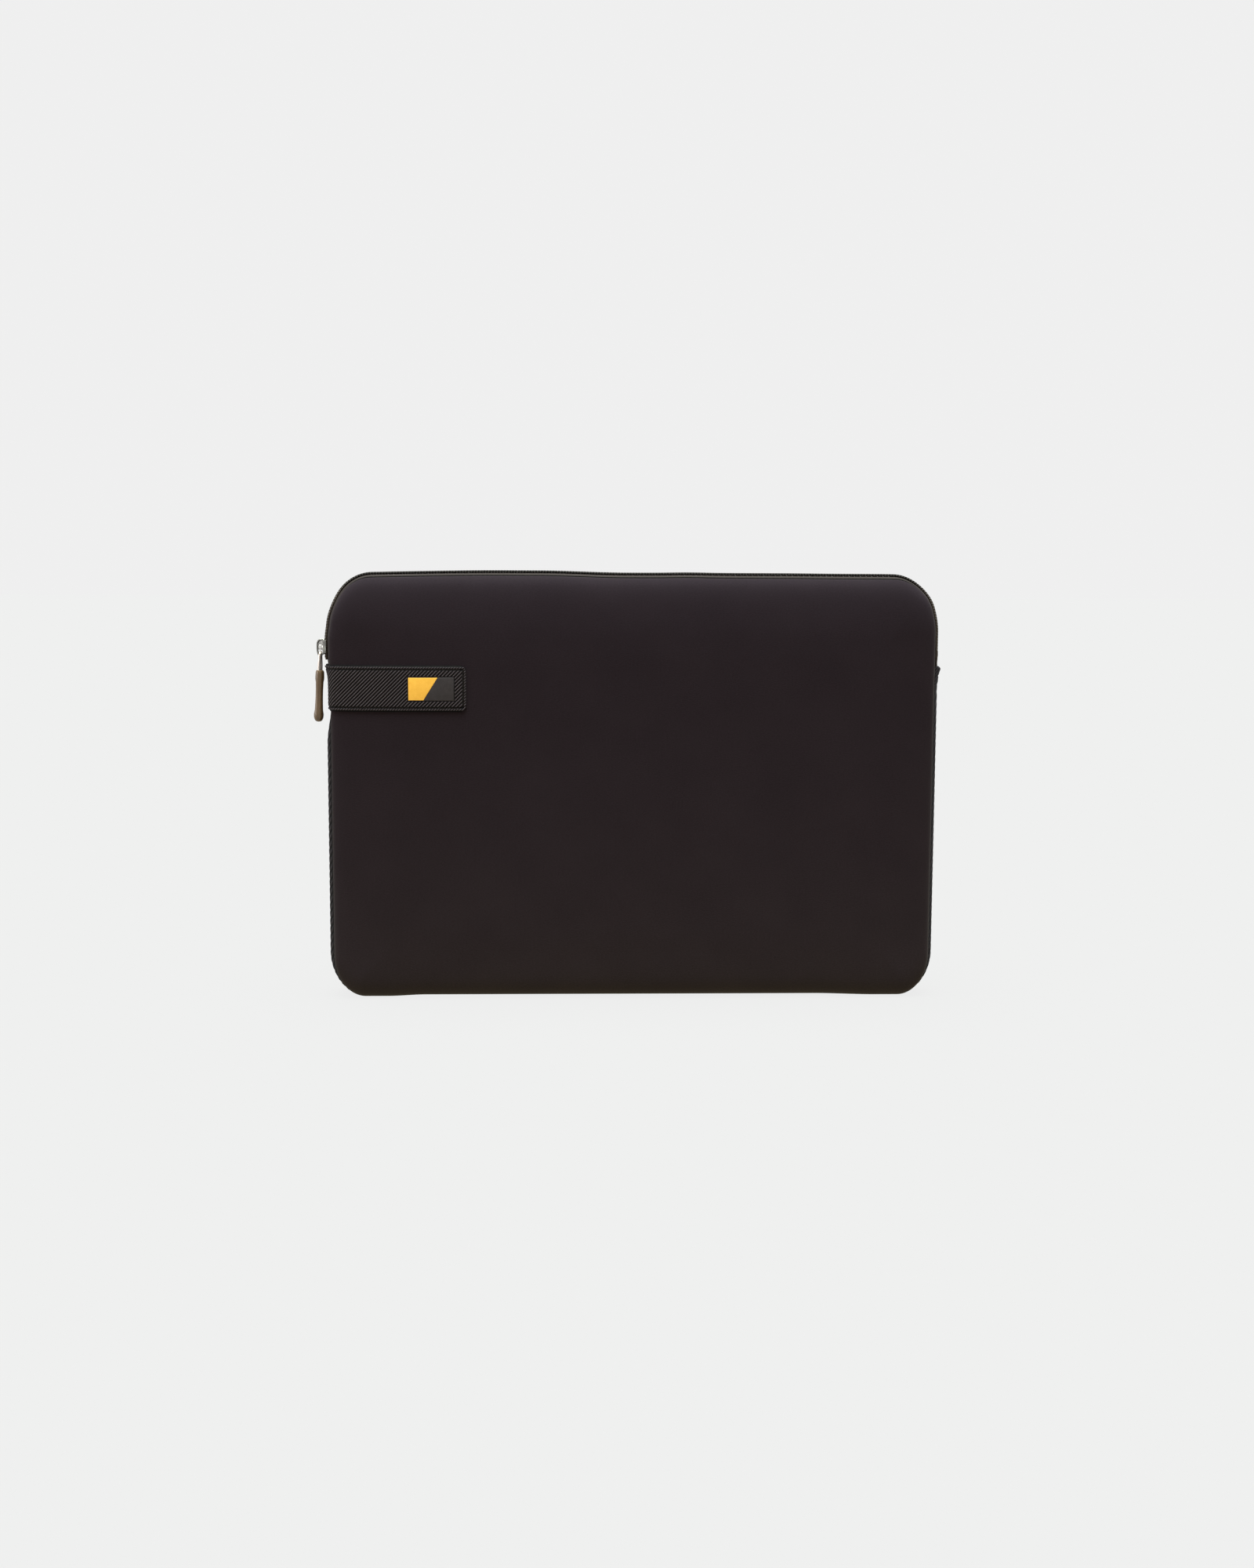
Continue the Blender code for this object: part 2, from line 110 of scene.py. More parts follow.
class Nodes:
    """Short names for the nodes that the materials are made of."""

    def __init__(self, tree):
        self.tree = tree

    def link(self, value, socket):
        if isinstance(value, (int, float)):
            socket.default_value = value
        elif isinstance(value, tuple):
            socket.default_value = value
        else:
            self.tree.links.new(value, socket)

    def math(self, op, a, b=0.0, c=0.0):
        n = self.tree.nodes.new("ShaderNodeMath")
        n.operation = op
        for value, socket in zip((a, b, c), n.inputs):
            self.link(value, socket)
        return n.outputs[0]

    def uv(self):
        """The flat cloth's own coordinates, in millimetres."""
        n = self.tree.nodes.new("ShaderNodeUVMap")
        n.uv_map = "cloth"
        s = self.tree.nodes.new("ShaderNodeSeparateXYZ")
        self.tree.links.new(n.outputs[0], s.inputs[0])
        return self.math("MULTIPLY", s.outputs[0], 1000.0), self.math("MULTIPLY", s.outputs[1], 1000.0)

    def vector(self, x, y, z=0.0):
        n = self.tree.nodes.new("ShaderNodeCombineXYZ")
        for value, socket in zip((x, y, z), n.inputs):
            self.link(value, socket)
        return n.outputs[0]

    def object(self):
        return self.tree.nodes.new("ShaderNodeTexCoord").outputs["Object"]

    def noise(self, vector, scale, detail=2.0, rough=0.5):
        n = self.tree.nodes.new("ShaderNodeTexNoise")
        self.tree.links.new(vector, n.inputs["Vector"])
        n.inputs["Scale"].default_value = scale
        n.inputs["Detail"].default_value = detail
        n.inputs["Roughness"].default_value = rough
        return n.outputs["Fac"]

    def ramp(self, fac, *stops):
        n = self.tree.nodes.new("ShaderNodeValToRGB")
        self.link(fac, n.inputs[0])
        while len(n.color_ramp.elements) < len(stops):
            n.color_ramp.elements.new(0.5)
        for element, (at, colour) in zip(n.color_ramp.elements, stops):
            element.position = at
            element.color = (*colour, 1.0) if len(colour) == 3 else colour
        return n.outputs[0]

    def scale_to(self, fac, low, high):
        n = self.tree.nodes.new("ShaderNodeMapRange")
        self.link(fac, n.inputs[0])
        n.inputs[3].default_value = low
        n.inputs[4].default_value = high
        return n.outputs[0]

    def wave(self, phase):
        """0 to 1 and back over one turn of phase."""
        return self.math("MULTIPLY_ADD", self.math("SINE", self.math("MULTIPLY", phase, TAU)), 0.5, 0.5)

    def bump(self, height, strength, distance, bsdf):
        n = self.tree.nodes.new("ShaderNodeBump")
        n.inputs["Strength"].default_value = strength
        n.inputs["Distance"].default_value = distance
        self.link(height, n.inputs["Height"])
        self.tree.links.new(n.outputs[0], bsdf.inputs["Normal"])


def knit(name, dark, light, sheen, wale=0.62, course=0.52):
    """A fine jersey: columns of small V stitches, with heathered yarn."""
    made, tree, bsdf = shader(name)
    n = Nodes(tree)
    x, y = n.uv()
    u, v = n.math("DIVIDE", x, wale), n.math("DIVIDE", y, course)
    lean = n.math("PINGPONG", u, 0.5)
    loops = n.wave(n.math("ADD", v, n.math("MULTIPLY", lean, 1.1)))
    columns = n.math("MULTIPLY", lean, 2.0)
    height = n.math("MULTIPLY_ADD", columns, 0.45, n.math("MULTIPLY", loops, 0.55))
    flat = n.vector(x, y)
    yarn = n.noise(n.vector(n.math("MULTIPLY", x, 0.8), n.math("MULTIPLY", y, 1.5)), 1.0, 4.0, 0.7)
    broad = n.noise(flat, 0.025, 2.0)
    tone = n.math("ADD", n.math("MULTIPLY", height, 0.16), n.math("MULTIPLY_ADD", yarn, 0.60, 0.04))
    tone = n.math("MULTIPLY_ADD", broad, 0.15, tone)
    tree.links.new(n.ramp(tone, (0.25, dark), (0.75, light)), bsdf.inputs["Base Color"])
    tree.links.new(n.scale_to(yarn, 0.78, 0.95), bsdf.inputs["Roughness"])
    bsdf.inputs["Specular IOR Level"].default_value = 0.04
    bsdf.inputs["Sheen Weight"].default_value = sheen
    bsdf.inputs["Sheen Roughness"].default_value = 0.35
    bsdf.inputs["Sheen Tint"].default_value = (0.78, 0.72, 0.74, 1.0)
    n.bump(n.math("MULTIPLY_ADD", yarn, 0.8, height), 0.22, 0.00014, bsdf)
    return made


def ribbed(name, dark, light, rough=(0.5, 0.7)):
    """Ribbed webbing. The ribs are in the mesh, and the map called rib holds their height. The colour follows that
    height, lighter on the crests and dark between them: painted light on the crests, painted shade in the valleys.
    """
    made, tree, bsdf = shader(name)
    n = Nodes(tree)
    x, y = n.uv()
    ribs = tree.nodes.new("ShaderNodeUVMap")
    ribs.uv_map = "rib"
    split = tree.nodes.new("ShaderNodeSeparateXYZ")
    tree.links.new(ribs.outputs[0], split.inputs[0])
    height = split.outputs[0]
    along = n.math("ADD", x, y)
    across = n.math("SUBTRACT", x, y)
    yarn = n.wave(n.math("ADD", n.math("DIVIDE", along, 0.62), n.math("MULTIPLY", n.noise(n.vector(x, y), 0.9), 0.5)))
    fuzz = n.noise(n.vector(n.math("MULTIPLY", along, 1.6), across), 1.1, 3.0, 0.6)
    # the colour follows the rib height: painted light on the crests, painted shade in the valleys
    tone = n.math("MULTIPLY_ADD", yarn, 0.08, n.math("MULTIPLY_ADD", fuzz, 0.30, n.math("MULTIPLY_ADD", height, 0.86, -0.19)))
    tree.links.new(n.ramp(tone, (0.0, tuple(0.3 * c for c in dark)), (0.5, dark), (0.86, light), (1.0, tuple(1.15 * c for c in light))), bsdf.inputs["Base Color"])
    tree.links.new(n.scale_to(fuzz, *rough), bsdf.inputs["Roughness"])
    bsdf.inputs["Specular IOR Level"].default_value = 0.05
    n.bump(n.math("MULTIPLY_ADD", fuzz, 0.5, yarn), 0.3, 0.00012, bsdf)
    return made


def woven(name, dark, light, pitch=0.6, sheen=0.1, rough=(0.7, 0.9), sewn=None):
    """A plain flat weave: over and under in both directions. Past sewn mm from its middle line it is made darker along
    the seam: painted shade for the crease where the tape meets the panel's edge.
    """
    made, tree, bsdf = shader(name)
    n = Nodes(tree)
    x, y = n.uv()
    u, v = n.math("DIVIDE", x, pitch), n.math("DIVIDE", y, pitch)
    over = n.math("MULTIPLY", n.math("SINE", n.math("MULTIPLY", u, math.pi)), n.math("SINE", n.math("MULTIPLY", v, math.pi)))
    height = n.math("MULTIPLY_ADD", over, 0.5, 0.5)
    yarn = n.noise(n.vector(x, y), 1.3, 3.0, 0.6)
    tone = n.math("MULTIPLY_ADD", height, 0.45, n.math("MULTIPLY", yarn, 0.55))
    stops = [(0.25, dark), (0.75, light)]
    if sewn is not None:
        # painted shade: the tape grows darker past sewn mm from its middle, where the seam's crease is shaded
        painted_seam_shade = n.math("SUBTRACT", n.math("ABSOLUTE", y), sewn)
        tone = n.math("SUBTRACT", n.math("MULTIPLY_ADD", tone, 0.6, 0.4), n.math("MULTIPLY", n.math("MINIMUM", n.math("MAXIMUM", painted_seam_shade, 0.0), 0.8), 1.2))
        stops = [(0.0, tuple(0.25 * c for c in dark)), (0.4, tuple(0.6 * c for c in dark)), (0.55, dark), (0.85, light)]
    tree.links.new(n.ramp(tone, *stops), bsdf.inputs["Base Color"])
    tree.links.new(n.scale_to(yarn, *rough), bsdf.inputs["Roughness"])
    bsdf.inputs["Specular IOR Level"].default_value = 0.08
    bsdf.inputs["Sheen Weight"].default_value = sheen
    bsdf.inputs["Sheen Roughness"].default_value = 0.45
    n.bump(height, 0.4, 0.00012, bsdf)
    return made


def moulded(name, low, high, grain, rough, bump, metallic=0.0, specular=0.5, stretch=(1.0, 1.0, 1.0)):
    """Moulded rubber or plated metal with a fine grain."""
    made, tree, bsdf = shader(name)
    n = Nodes(tree)
    place = tree.nodes.new("ShaderNodeMapping")
    tree.links.new(n.object(), place.inputs["Vector"])
    place.inputs["Scale"].default_value = tuple(1000.0 * s for s in stretch)
    fine = n.noise(place.outputs[0], grain, 4.0, 0.6)
    broad = n.noise(place.outputs[0], grain * 0.12, 2.0)
    tone = n.math("MULTIPLY_ADD", fine, 0.6, n.math("MULTIPLY", broad, 0.4))
    tree.links.new(n.ramp(tone, (0.3, low), (0.7, high)), bsdf.inputs["Base Color"])
    tree.links.new(n.scale_to(tone, *rough), bsdf.inputs["Roughness"])
    bsdf.inputs["Metallic"].default_value = metallic
    bsdf.inputs["Specular IOR Level"].default_value = specular
    n.bump(fine, bump, 0.0001, bsdf)
    return made


def chain(name, top, side, grain, rough, bump, specular):
    """The zipper's wound yarn: dark over the top, and greyer along the sides, where the lighter side colour is painted
    light that stands in for light on the shaded recess beside the panel's edge. The map called side tells which.
    """
    made, tree, bsdf = shader(name)
    n = Nodes(tree)
    place = tree.nodes.new("ShaderNodeMapping")
    tree.links.new(n.object(), place.inputs["Vector"])
    place.inputs["Scale"].default_value = (1000.0, 1000.0, 1000.0)
    fine = n.noise(place.outputs[0], grain, 4.0, 0.6)
    where = tree.nodes.new("ShaderNodeUVMap")
    where.uv_map = "side"
    split = tree.nodes.new("ShaderNodeSeparateXYZ")
    tree.links.new(where.outputs[0], split.inputs[0])
    # blend towards the lighter side colour, painted light along the zipper's sides
    mix = tree.nodes.new("ShaderNodeMix")
    mix.data_type = "RGBA"
    tree.links.new(split.outputs[0], mix.inputs[0])
    tree.links.new(n.ramp(fine, (0.3, top[0]), (0.7, top[1])), mix.inputs[6])
    tree.links.new(n.ramp(fine, (0.3, side[0]), (0.7, side[1])), mix.inputs[7])
    tree.links.new(mix.outputs[2], bsdf.inputs["Base Color"])
    tree.links.new(n.scale_to(fine, *rough), bsdf.inputs["Roughness"])
    bsdf.inputs["Specular IOR Level"].default_value = specular
    n.bump(fine, bump, 0.0001, bsdf)
    return made


KNIT = knit("knit_black", (0.0072, 0.00465, 0.0073), (0.0194, 0.0138, 0.0190), 0.05)
# ribbed: crest and valley colours, painted light and shade that follow the rib height
RIBBED = ribbed("ribbed_black", (0.0083, 0.0066, 0.0083), (0.0560, 0.0470, 0.0580))
# the tape's darker band past 8.9 mm from its middle is painted shade along the seam
TAPE = woven("tape_grey", (0.0076, 0.0052, 0.0054), (0.0178, 0.0124, 0.0128), 0.55, 0.0, (0.7, 0.9), 8.9)
# the tape wrapped over the chain's right end, lighter than the tape: painted light on its shaded recess
WRAP_LIT = woven("tape_wrapped_painted_light", (0.0240, 0.0180, 0.0165), (0.0440, 0.0335, 0.0310), 0.55, 0.0)
LINING = knit("lining_grey", (0.083, 0.083, 0.088), (0.165, 0.165, 0.175), 0.08, 0.9, 0.8)
BINDING = woven("binding_black", (0.0165, 0.0158, 0.0165), (0.040, 0.038, 0.040), 0.7, 0.03)
# coil and core: a top colour, and a lighter side colour that is painted light on the shaded sides
COIL = chain("coil_black", ((0.0127, 0.0099, 0.0099), (0.0322, 0.0258, 0.0260)), ((0.0350, 0.0280, 0.0272), (0.0660, 0.0535, 0.0515)), 1.2, (0.45, 0.60), 0.1, 0.10)
CORE = chain("core_black", ((0.0033, 0.0028, 0.0028), (0.0070, 0.0060, 0.0060)), ((0.0520, 0.0415, 0.0400), (0.0820, 0.0665, 0.0640)), 2.0, (0.70, 0.85), 0.3, 0.04)
SEAM = moulded("seam_black", (0.0033, 0.0028, 0.0028), (0.0070, 0.0060, 0.0060), 2.0, (0.70, 0.85), 0.3, 0.0, 0.04)
THREAD = moulded("thread_dark", (0.010, 0.0083, 0.0083), (0.025, 0.0215, 0.0215), 3.0, (0.6, 0.8), 0.4, 0.0, 0.06)
# four copies of one nickel that differ in brightness: the darkest is painted shade on the plates and bail band, the
# others are painted light and highlight on the web, cap and wire loop
NICKEL_SHADED = moulded("nickel_painted_shade", (0.130, 0.124, 0.116), (0.235, 0.226, 0.213), 1.5, (0.32, 0.46), 0.06, 1.0, 0.5, (1, 1, 0.25))
NICKEL_HIGHLIGHT = moulded("nickel_painted_highlight", (0.60, 0.585, 0.56), (0.75, 0.735, 0.71), 1.5, (0.30, 0.42), 0.05, 1.0, 0.5, (1, 1, 0.25))
NICKEL_LIT = moulded("nickel_painted_light", (0.30, 0.291, 0.278), (0.41, 0.398, 0.382), 1.5, (0.30, 0.42), 0.05, 1.0, 0.5, (1, 1, 0.25))
NICKEL_LIT_WIRE = moulded("nickel_wire_painted_light", (0.46, 0.405, 0.362), (0.66, 0.585, 0.53), 1.5, (0.24, 0.36), 0.05, 1.0, 0.5, (1, 1, 0.25))
TAUPE = moulded("taupe_rubber", (0.063, 0.0355, 0.0182), (0.111, 0.066, 0.0363), 2.2, (0.20, 0.30), 0.10, 0.0, 0.5)
AMBER = moulded("label_amber", (0.655, 0.345, 0.050), (0.765, 0.415, 0.072), 3.2, (0.42, 0.58), 0.15, 0.0, 0.15)
SLATE = moulded("label_slate", (0.0208, 0.0178, 0.0208), (0.0342, 0.0295, 0.0342), 3.2, (0.42, 0.58), 0.15, 0.0, 0.12)


# ---------------------------------------------------------------- mesh helpers
def quads(rows, cols, wrap_cols=False, wrap_rows=False):
    """Faces of a grid of rows by cols points, as an (n, 4) array."""
    r = np.arange(rows if wrap_rows else rows - 1)
    c = np.arange(cols if wrap_cols else cols - 1)
    r, c = np.meshgrid(r, c, indexing="ij")
    r1, c1 = (r + 1) % rows, (c + 1) % cols
    return np.stack([r * cols + c, r * cols + c1, r1 * cols + c1, r1 * cols + c], -1).reshape(-1, 4)


def volume(verts, faces):
    total = 0.0
    for face in faces:
        f = np.asarray(face)
        if f.ndim == 1:
            f = f[None]
        for k in range(1, f.shape[1] - 1):
            a, b, c = verts[f[:, 0]], verts[f[:, k]], verts[f[:, k + 1]]
            total += float((a * np.cross(b, c)).sum())
    return total / 6


def settle(p):
    """The sleeve as it stands: up on the two ends of its bottom edge, a little higher along the left half of its top, fuller beside the slider and at the right-hand top corner."""
    p = np.array(p, float)
    x, z = p[..., 0].copy(), p[..., 2].copy()
    foot = (smoothstep(-x, 138, 163) + smoothstep(x, 122, 163)) * (1 - smoothstep(z, 2, 40))
    top = 1.2 * smoothstep(x, -180, -88) * (1 - smoothstep(x, -62, -5)) + 0.3 * np.exp(-(((x - 36) / 16) ** 2)) - 0.2 * smoothstep(x, 100, 140)
    top -= 0.35 * np.exp(-(((x - 186) / 13) ** 2)) + 0.25 * np.exp(-(((x + 176) / 16) ** 2))
    p[..., 2] += LIFT * (1 - foot) + top * smoothstep(z, 228, 274)
    p[..., 0] -= 0.9 * smoothstep(z, 217, 225) * (1 - smoothstep(z, 237, 247)) * smoothstep(-x, 150, 195)
    p[..., 0] += 0.7 * np.exp(-(((z - 265) / 8) ** 2)) * smoothstep(x, 140, 185)
    p[..., 0] += 0.55 * np.exp(-(((z - 262) / 9) ** 2)) * smoothstep(-x, 150, 195)
    return p


def mesh_piece(name, verts, faces, mat, uv=None, sharp=None, maps=None, soft=True):
    """A mesh object from points in millimetres and a list of face arrays, turned so that its faces point out."""
    verts = settle(verts) if soft else np.asarray(verts, float)
    faces = [np.atleast_2d(np.asarray(f)) for f in faces]
    if volume(verts, faces) < 0:
        faces = [f[:, ::-1] for f in faces]
    loops = np.concatenate([f.ravel() for f in faces]).astype(np.int32)
    sizes = np.concatenate([np.full(len(f), f.shape[1]) for f in faces]).astype(np.int32)
    starts = (np.cumsum(sizes) - sizes).astype(np.int32)
    mesh = bpy.data.meshes.new(name)
    mesh.vertices.add(len(verts))
    mesh.vertices.foreach_set("co", (verts * MM).astype(np.float32).ravel())
    mesh.loops.add(len(loops))
    mesh.loops.foreach_set("vertex_index", loops)
    mesh.polygons.add(len(sizes))
    mesh.polygons.foreach_set("loop_start", starts)
    mesh.polygons.foreach_set("loop_total", sizes)
    mesh.update(calc_edges=True)
    mesh.validate()
    if uv is not None:
        layer = mesh.uv_layers.new(name="cloth")
        layer.data.foreach_set("uv", (np.asarray(uv, float) * MM)[loops].astype(np.float32).ravel())
    for key, values in (maps or {}).items():
        flat = np.stack([np.asarray(values, float).ravel(), np.zeros(len(verts))], 1)
        mesh.uv_layers.new(name=key).data.foreach_set("uv", flat[loops].astype(np.float32).ravel())
    mesh.shade_smooth()
    if sharp is not None:
        mesh.set_sharp_from_angle(angle=math.radians(sharp))
    mesh.materials.append(mat)
    obj = bpy.data.objects.new(name, mesh)
    SCENE.collection.objects.link(obj)
    return obj


def thick_grid(name, outer, inner, uv, mat, wrap_cols=False, sharp=None, rib=None):
    """A closed sheet between two grids of points (rows, cols, 3)."""
    rows, cols = outer.shape[:2]
    n = rows * cols
    faces = [quads(rows, cols, wrap_cols), quads(rows, cols, wrap_cols)[:, ::-1] + n]
    c = np.arange(cols if wrap_cols else cols - 1)
    c1 = (c + 1) % cols
    first, last = c, (rows - 1) * cols + c
    first1, last1 = c1, (rows - 1) * cols + c1
    faces.append(np.stack([first1, first, first + n, first1 + n], -1))
    faces.append(np.stack([last, last1, last1 + n, last + n], -1))
    if not wrap_cols:
        r = np.arange(rows - 1)
        a, b = r * cols, (r + 1) * cols
        faces.append(np.stack([a, b, b + n, a + n], -1))
        a, b = a + cols - 1, b + cols - 1
        faces.append(np.stack([b, a, a + n, b + n], -1))
    verts = np.concatenate([outer.reshape(-1, 3), inner.reshape(-1, 3)])
    uv = np.concatenate([uv.reshape(-1, 2)] * 2)
    maps = None if rib is None else {"rib": np.concatenate([rib.ravel(), np.full(rib.size, 0.3)])}
    return mesh_piece(name, verts, faces, mat, uv, sharp, maps)


def smooth_rows(rows, counts):
    """Catmull-Rom through the rows of a table, with counts[i] steps after row i."""
    rows = np.asarray(rows, float)
    padded = np.concatenate([2 * rows[:1] - rows[1:2], rows, 2 * rows[-1:] - rows[-2:-1]])
    out = []
    for i, count in enumerate(counts):
        p0, p1, p2, p3 = padded[i : i + 4]
        for t in np.arange(count) / count:
            out.append(0.5 * (2 * p1 + (p2 - p0) * t + (2 * p0 - 5 * p1 + 4 * p2 - p3) * t * t + (3 * p1 - p0 - 3 * p2 + p3) * t**3))
    out.append(rows[-1])
    return np.array(out)


def smoothstep(x, a, b):
    t = np.clip((np.asarray(x, float) - a) / (b - a), 0, 1)
    return t * t * (3 - 2 * t)


# ---------------------------------------------------------------- outline
def corner_radii(base, side, end, least=5.0):
    return max(base[0] - side, least), max(base[1] - end, least)


def ring(side, top, bottom, nc=28, ns=84, nt=140):
    """The outline with these insets, anticlockwise from the front, from the bottom right corner. Also each point's share of side, top and bottom."""
    tx, tz = corner_radii(RT, side, top)
    bx, bz = corner_radii(RB, side, bottom)
    x, hi = W2 - side, H - top
    q = np.arange(nc) / nc
    a = q * math.pi / 2
    parts = [
        np.stack([x - bx + bx * np.sin(a), bottom + bz - bz * np.cos(a)], 1),
        np.stack([np.full(ns, x), bottom + bz + (hi - tz - bottom - bz) * np.arange(ns) / ns], 1),
        np.stack([x - tx + tx * np.cos(a), hi - tz + tz * np.sin(a)], 1),
        np.stack([(x - tx) * (1 - 2 * np.arange(nt) / nt), np.full(nt, hi)], 1),
        np.stack([-(x - tx) - tx * np.sin(a), hi - tz + tz * np.cos(a)], 1),
        np.stack([np.full(ns, -x), hi - tz - (hi - tz - bottom - bz) * np.arange(ns) / ns], 1),
        np.stack([-(x - bx) - bx * np.cos(a), bottom + bz - bz * np.sin(a)], 1),
        np.stack([-(x - bx) * (1 - 2 * np.arange(nt) / nt), np.full(nt, bottom)], 1),
    ]
    s = q * q * (3 - 2 * q)
    zero, one = np.zeros, np.ones
    top_share = np.concatenate([zero(nc), zero(ns), s, one(nt), 1 - s, zero(ns), zero(nc), zero(nt)])
    low_share = np.concatenate([1 - s, zero(ns), zero(nc), zero(nt), zero(nc), zero(ns), s, one(nt)])
    return np.concatenate(parts), top_share, low_share


L_CORNER_T, L_CORNER_B = 55.3, 41.7  # nominal lengths of the corners


def along_arch(u, side, top, end_z):
    """Points of the zipper's path, u in mm from its right end over the top to its left end, with the outward normal (x, z)."""
    side, top = np.broadcast_to(side, u.shape), np.broadcast_to(top, u.shape)
    l1, lc, l2 = H - RT[1] - end_z, L_CORNER_T, 2 * (W2 - RT[0])
    x, z, nx, nz = (np.zeros(u.shape) for _ in range(4))
    rx, rz = RT[0] - side, RT[1] - top
    for k in range(5):
        lo = (0, l1, l1 + lc, l1 + lc + l2, l1 + 2 * lc + l2)[k]
        hi = (l1, l1 + lc, l1 + lc + l2, l1 + 2 * lc + l2, 2 * l1 + 2 * lc + l2)[k]
        m = (u >= lo if k else u > -1e9) & (u < hi if k < 4 else u < 1e9)
        t = u - lo
        if k == 0:
            v = (W2 - side, end_z + t, 1.0, 0.0)
        elif k == 2:
            v = (W2 - RT[0] - t, H - top, 0.0, 1.0)
        elif k == 4:
            v = (side - W2, H - RT[1] - t, -1.0, 0.0)
        else:
            a = ellipse_angle(t / lc, RT) + (math.pi / 2 if k == 3 else 0.0)
            if k == 3:
                a = math.pi - ellipse_angle(1 - t / lc, RT)
            cx = (W2 - RT[0]) * (1 if k == 1 else -1)
            n = np.hypot(np.cos(a) / RT[0], np.sin(a) / RT[1])
            v = (cx + rx * np.cos(a), H - RT[1] + rz * np.sin(a), np.cos(a) / RT[0] / n, np.sin(a) / RT[1] / n)
        for target, value in zip((x, z, nx, nz), v):
            target[m] = np.broadcast_to(value, u.shape)[m]
    return x, z, nx, nz


def ellipse_angle(share, radii):
    """The angle, from the side, at which this share of a quarter ellipse's length has passed."""
    a = np.linspace(0, math.pi / 2, 400)
    step = np.hypot(radii[0] * np.sin(a), radii[1] * np.cos(a))
    length = np.concatenate([[0], np.cumsum((step[1:] + step[:-1]) / 2)])
    return np.interp(np.clip(share, 0, 1), length / length[-1], a)


def arch_length(end_z):
    return 2 * (H - RT[1] - end_z) + 2 * L_CORNER_T + 2 * (W2 - RT[0])


def along_cradle(u, side, bottom, end_z):
    """Points of the gusset's path, u in mm from its left end under the bottom to its right end, with the outward normal."""
    side, bottom = np.broadcast_to(side, u.shape), np.broadcast_to(bottom, u.shape)
    l1, lc, l2 = end_z - RB[1], L_CORNER_B, 2 * (W2 - RB[0])
    x, z, nx, nz = (np.zeros(u.shape) for _ in range(4))
    rx, rz = RB[0] - side, RB[1] - bottom
    for k in range(5):
        lo = (0, l1, l1 + lc, l1 + lc + l2, l1 + 2 * lc + l2)[k]
        hi = (l1, l1 + lc, l1 + lc + l2, l1 + 2 * lc + l2, 2 * l1 + 2 * lc + l2)[k]
        m = (u >= lo if k else u > -1e9) & (u < hi if k < 4 else u < 1e9)
        t = u - lo
        if k == 0:
            v = (side - W2, end_z - t, -1.0, 0.0)
        elif k == 2:
            v = (RB[0] - W2 + t, bottom, 0.0, -1.0)
        elif k == 4:
            v = (W2 - side, RB[1] + t, 1.0, 0.0)
        else:
            a = math.pi + ellipse_angle(t / lc, RB) if k == 1 else -ellipse_angle(1 - t / lc, RB)
            cx = (W2 - RB[0]) * (-1 if k == 1 else 1)
            n = np.hypot(np.cos(a) / RB[0], np.sin(a) / RB[1])
            v = (cx + rx * np.cos(a), RB[1] + rz * np.sin(a), np.cos(a) / RB[0] / n, np.sin(a) / RB[1] / n)
        for target, value in zip((x, z, nx, nz), v):
            target[m] = np.broadcast_to(value, u.shape)[m]
    return x, z, nx, nz


CRADLE_L = 2 * (GUSSET_END_Z - RB[1]) + 2 * L_CORNER_B + 2 * (W2 - RB[0])


# ---------------------------------------------------------------- padded panels
# insets at side, top and bottom, then the depth there, from the tucked seam edge out to the face
PANEL = (
    (6.0, 5.6, 3.2, 12.35, 12.35, 12.35),
    (5.7, 5.4, 3.0, 11.35, 11.35, 11.35),
    (4.8, 4.6, 2.1, 10.80, 10.80, 10.80),
    (4.05, 3.9, 1.2, 11.15, 11.15, 11.15),
    (3.80, 3.65, 0.9, 12.10, 11.95, 12.10),
    (4.15, 4.15, 1.2, 13.30, 12.75, 13.40),
    (5.40, 6.00, 2.4, 15.20, 14.10, 15.40),
    (7.50, 8.80, 4.2, 16.75, 15.55, 17.00),
    (10.8, 13.0, 7.0, 17.95, 16.95, 18.40),
    (15.5, 19.0, 11.5, 18.95, 18.25, 19.50),
    (23.0, 27.0, 18.5, 19.75, 19.35, 20.10),
    (32.0, 38.0, 28.0, 20.25, 20.20, 20.40),
    (46.0, 54.0, 42.0, 20.60, 20.60, 20.60),
)
PANEL_STEPS = (1, 2, 3, 3, 3, 3, 3, 3, 4, 4, 4, 5)
SIDE_PROFILE = smooth_rows([(r[0], r[3]) for r in PANEL], PANEL_STEPS)


SWELL = 0.75  # how far the middle of a panel stands out over its rim


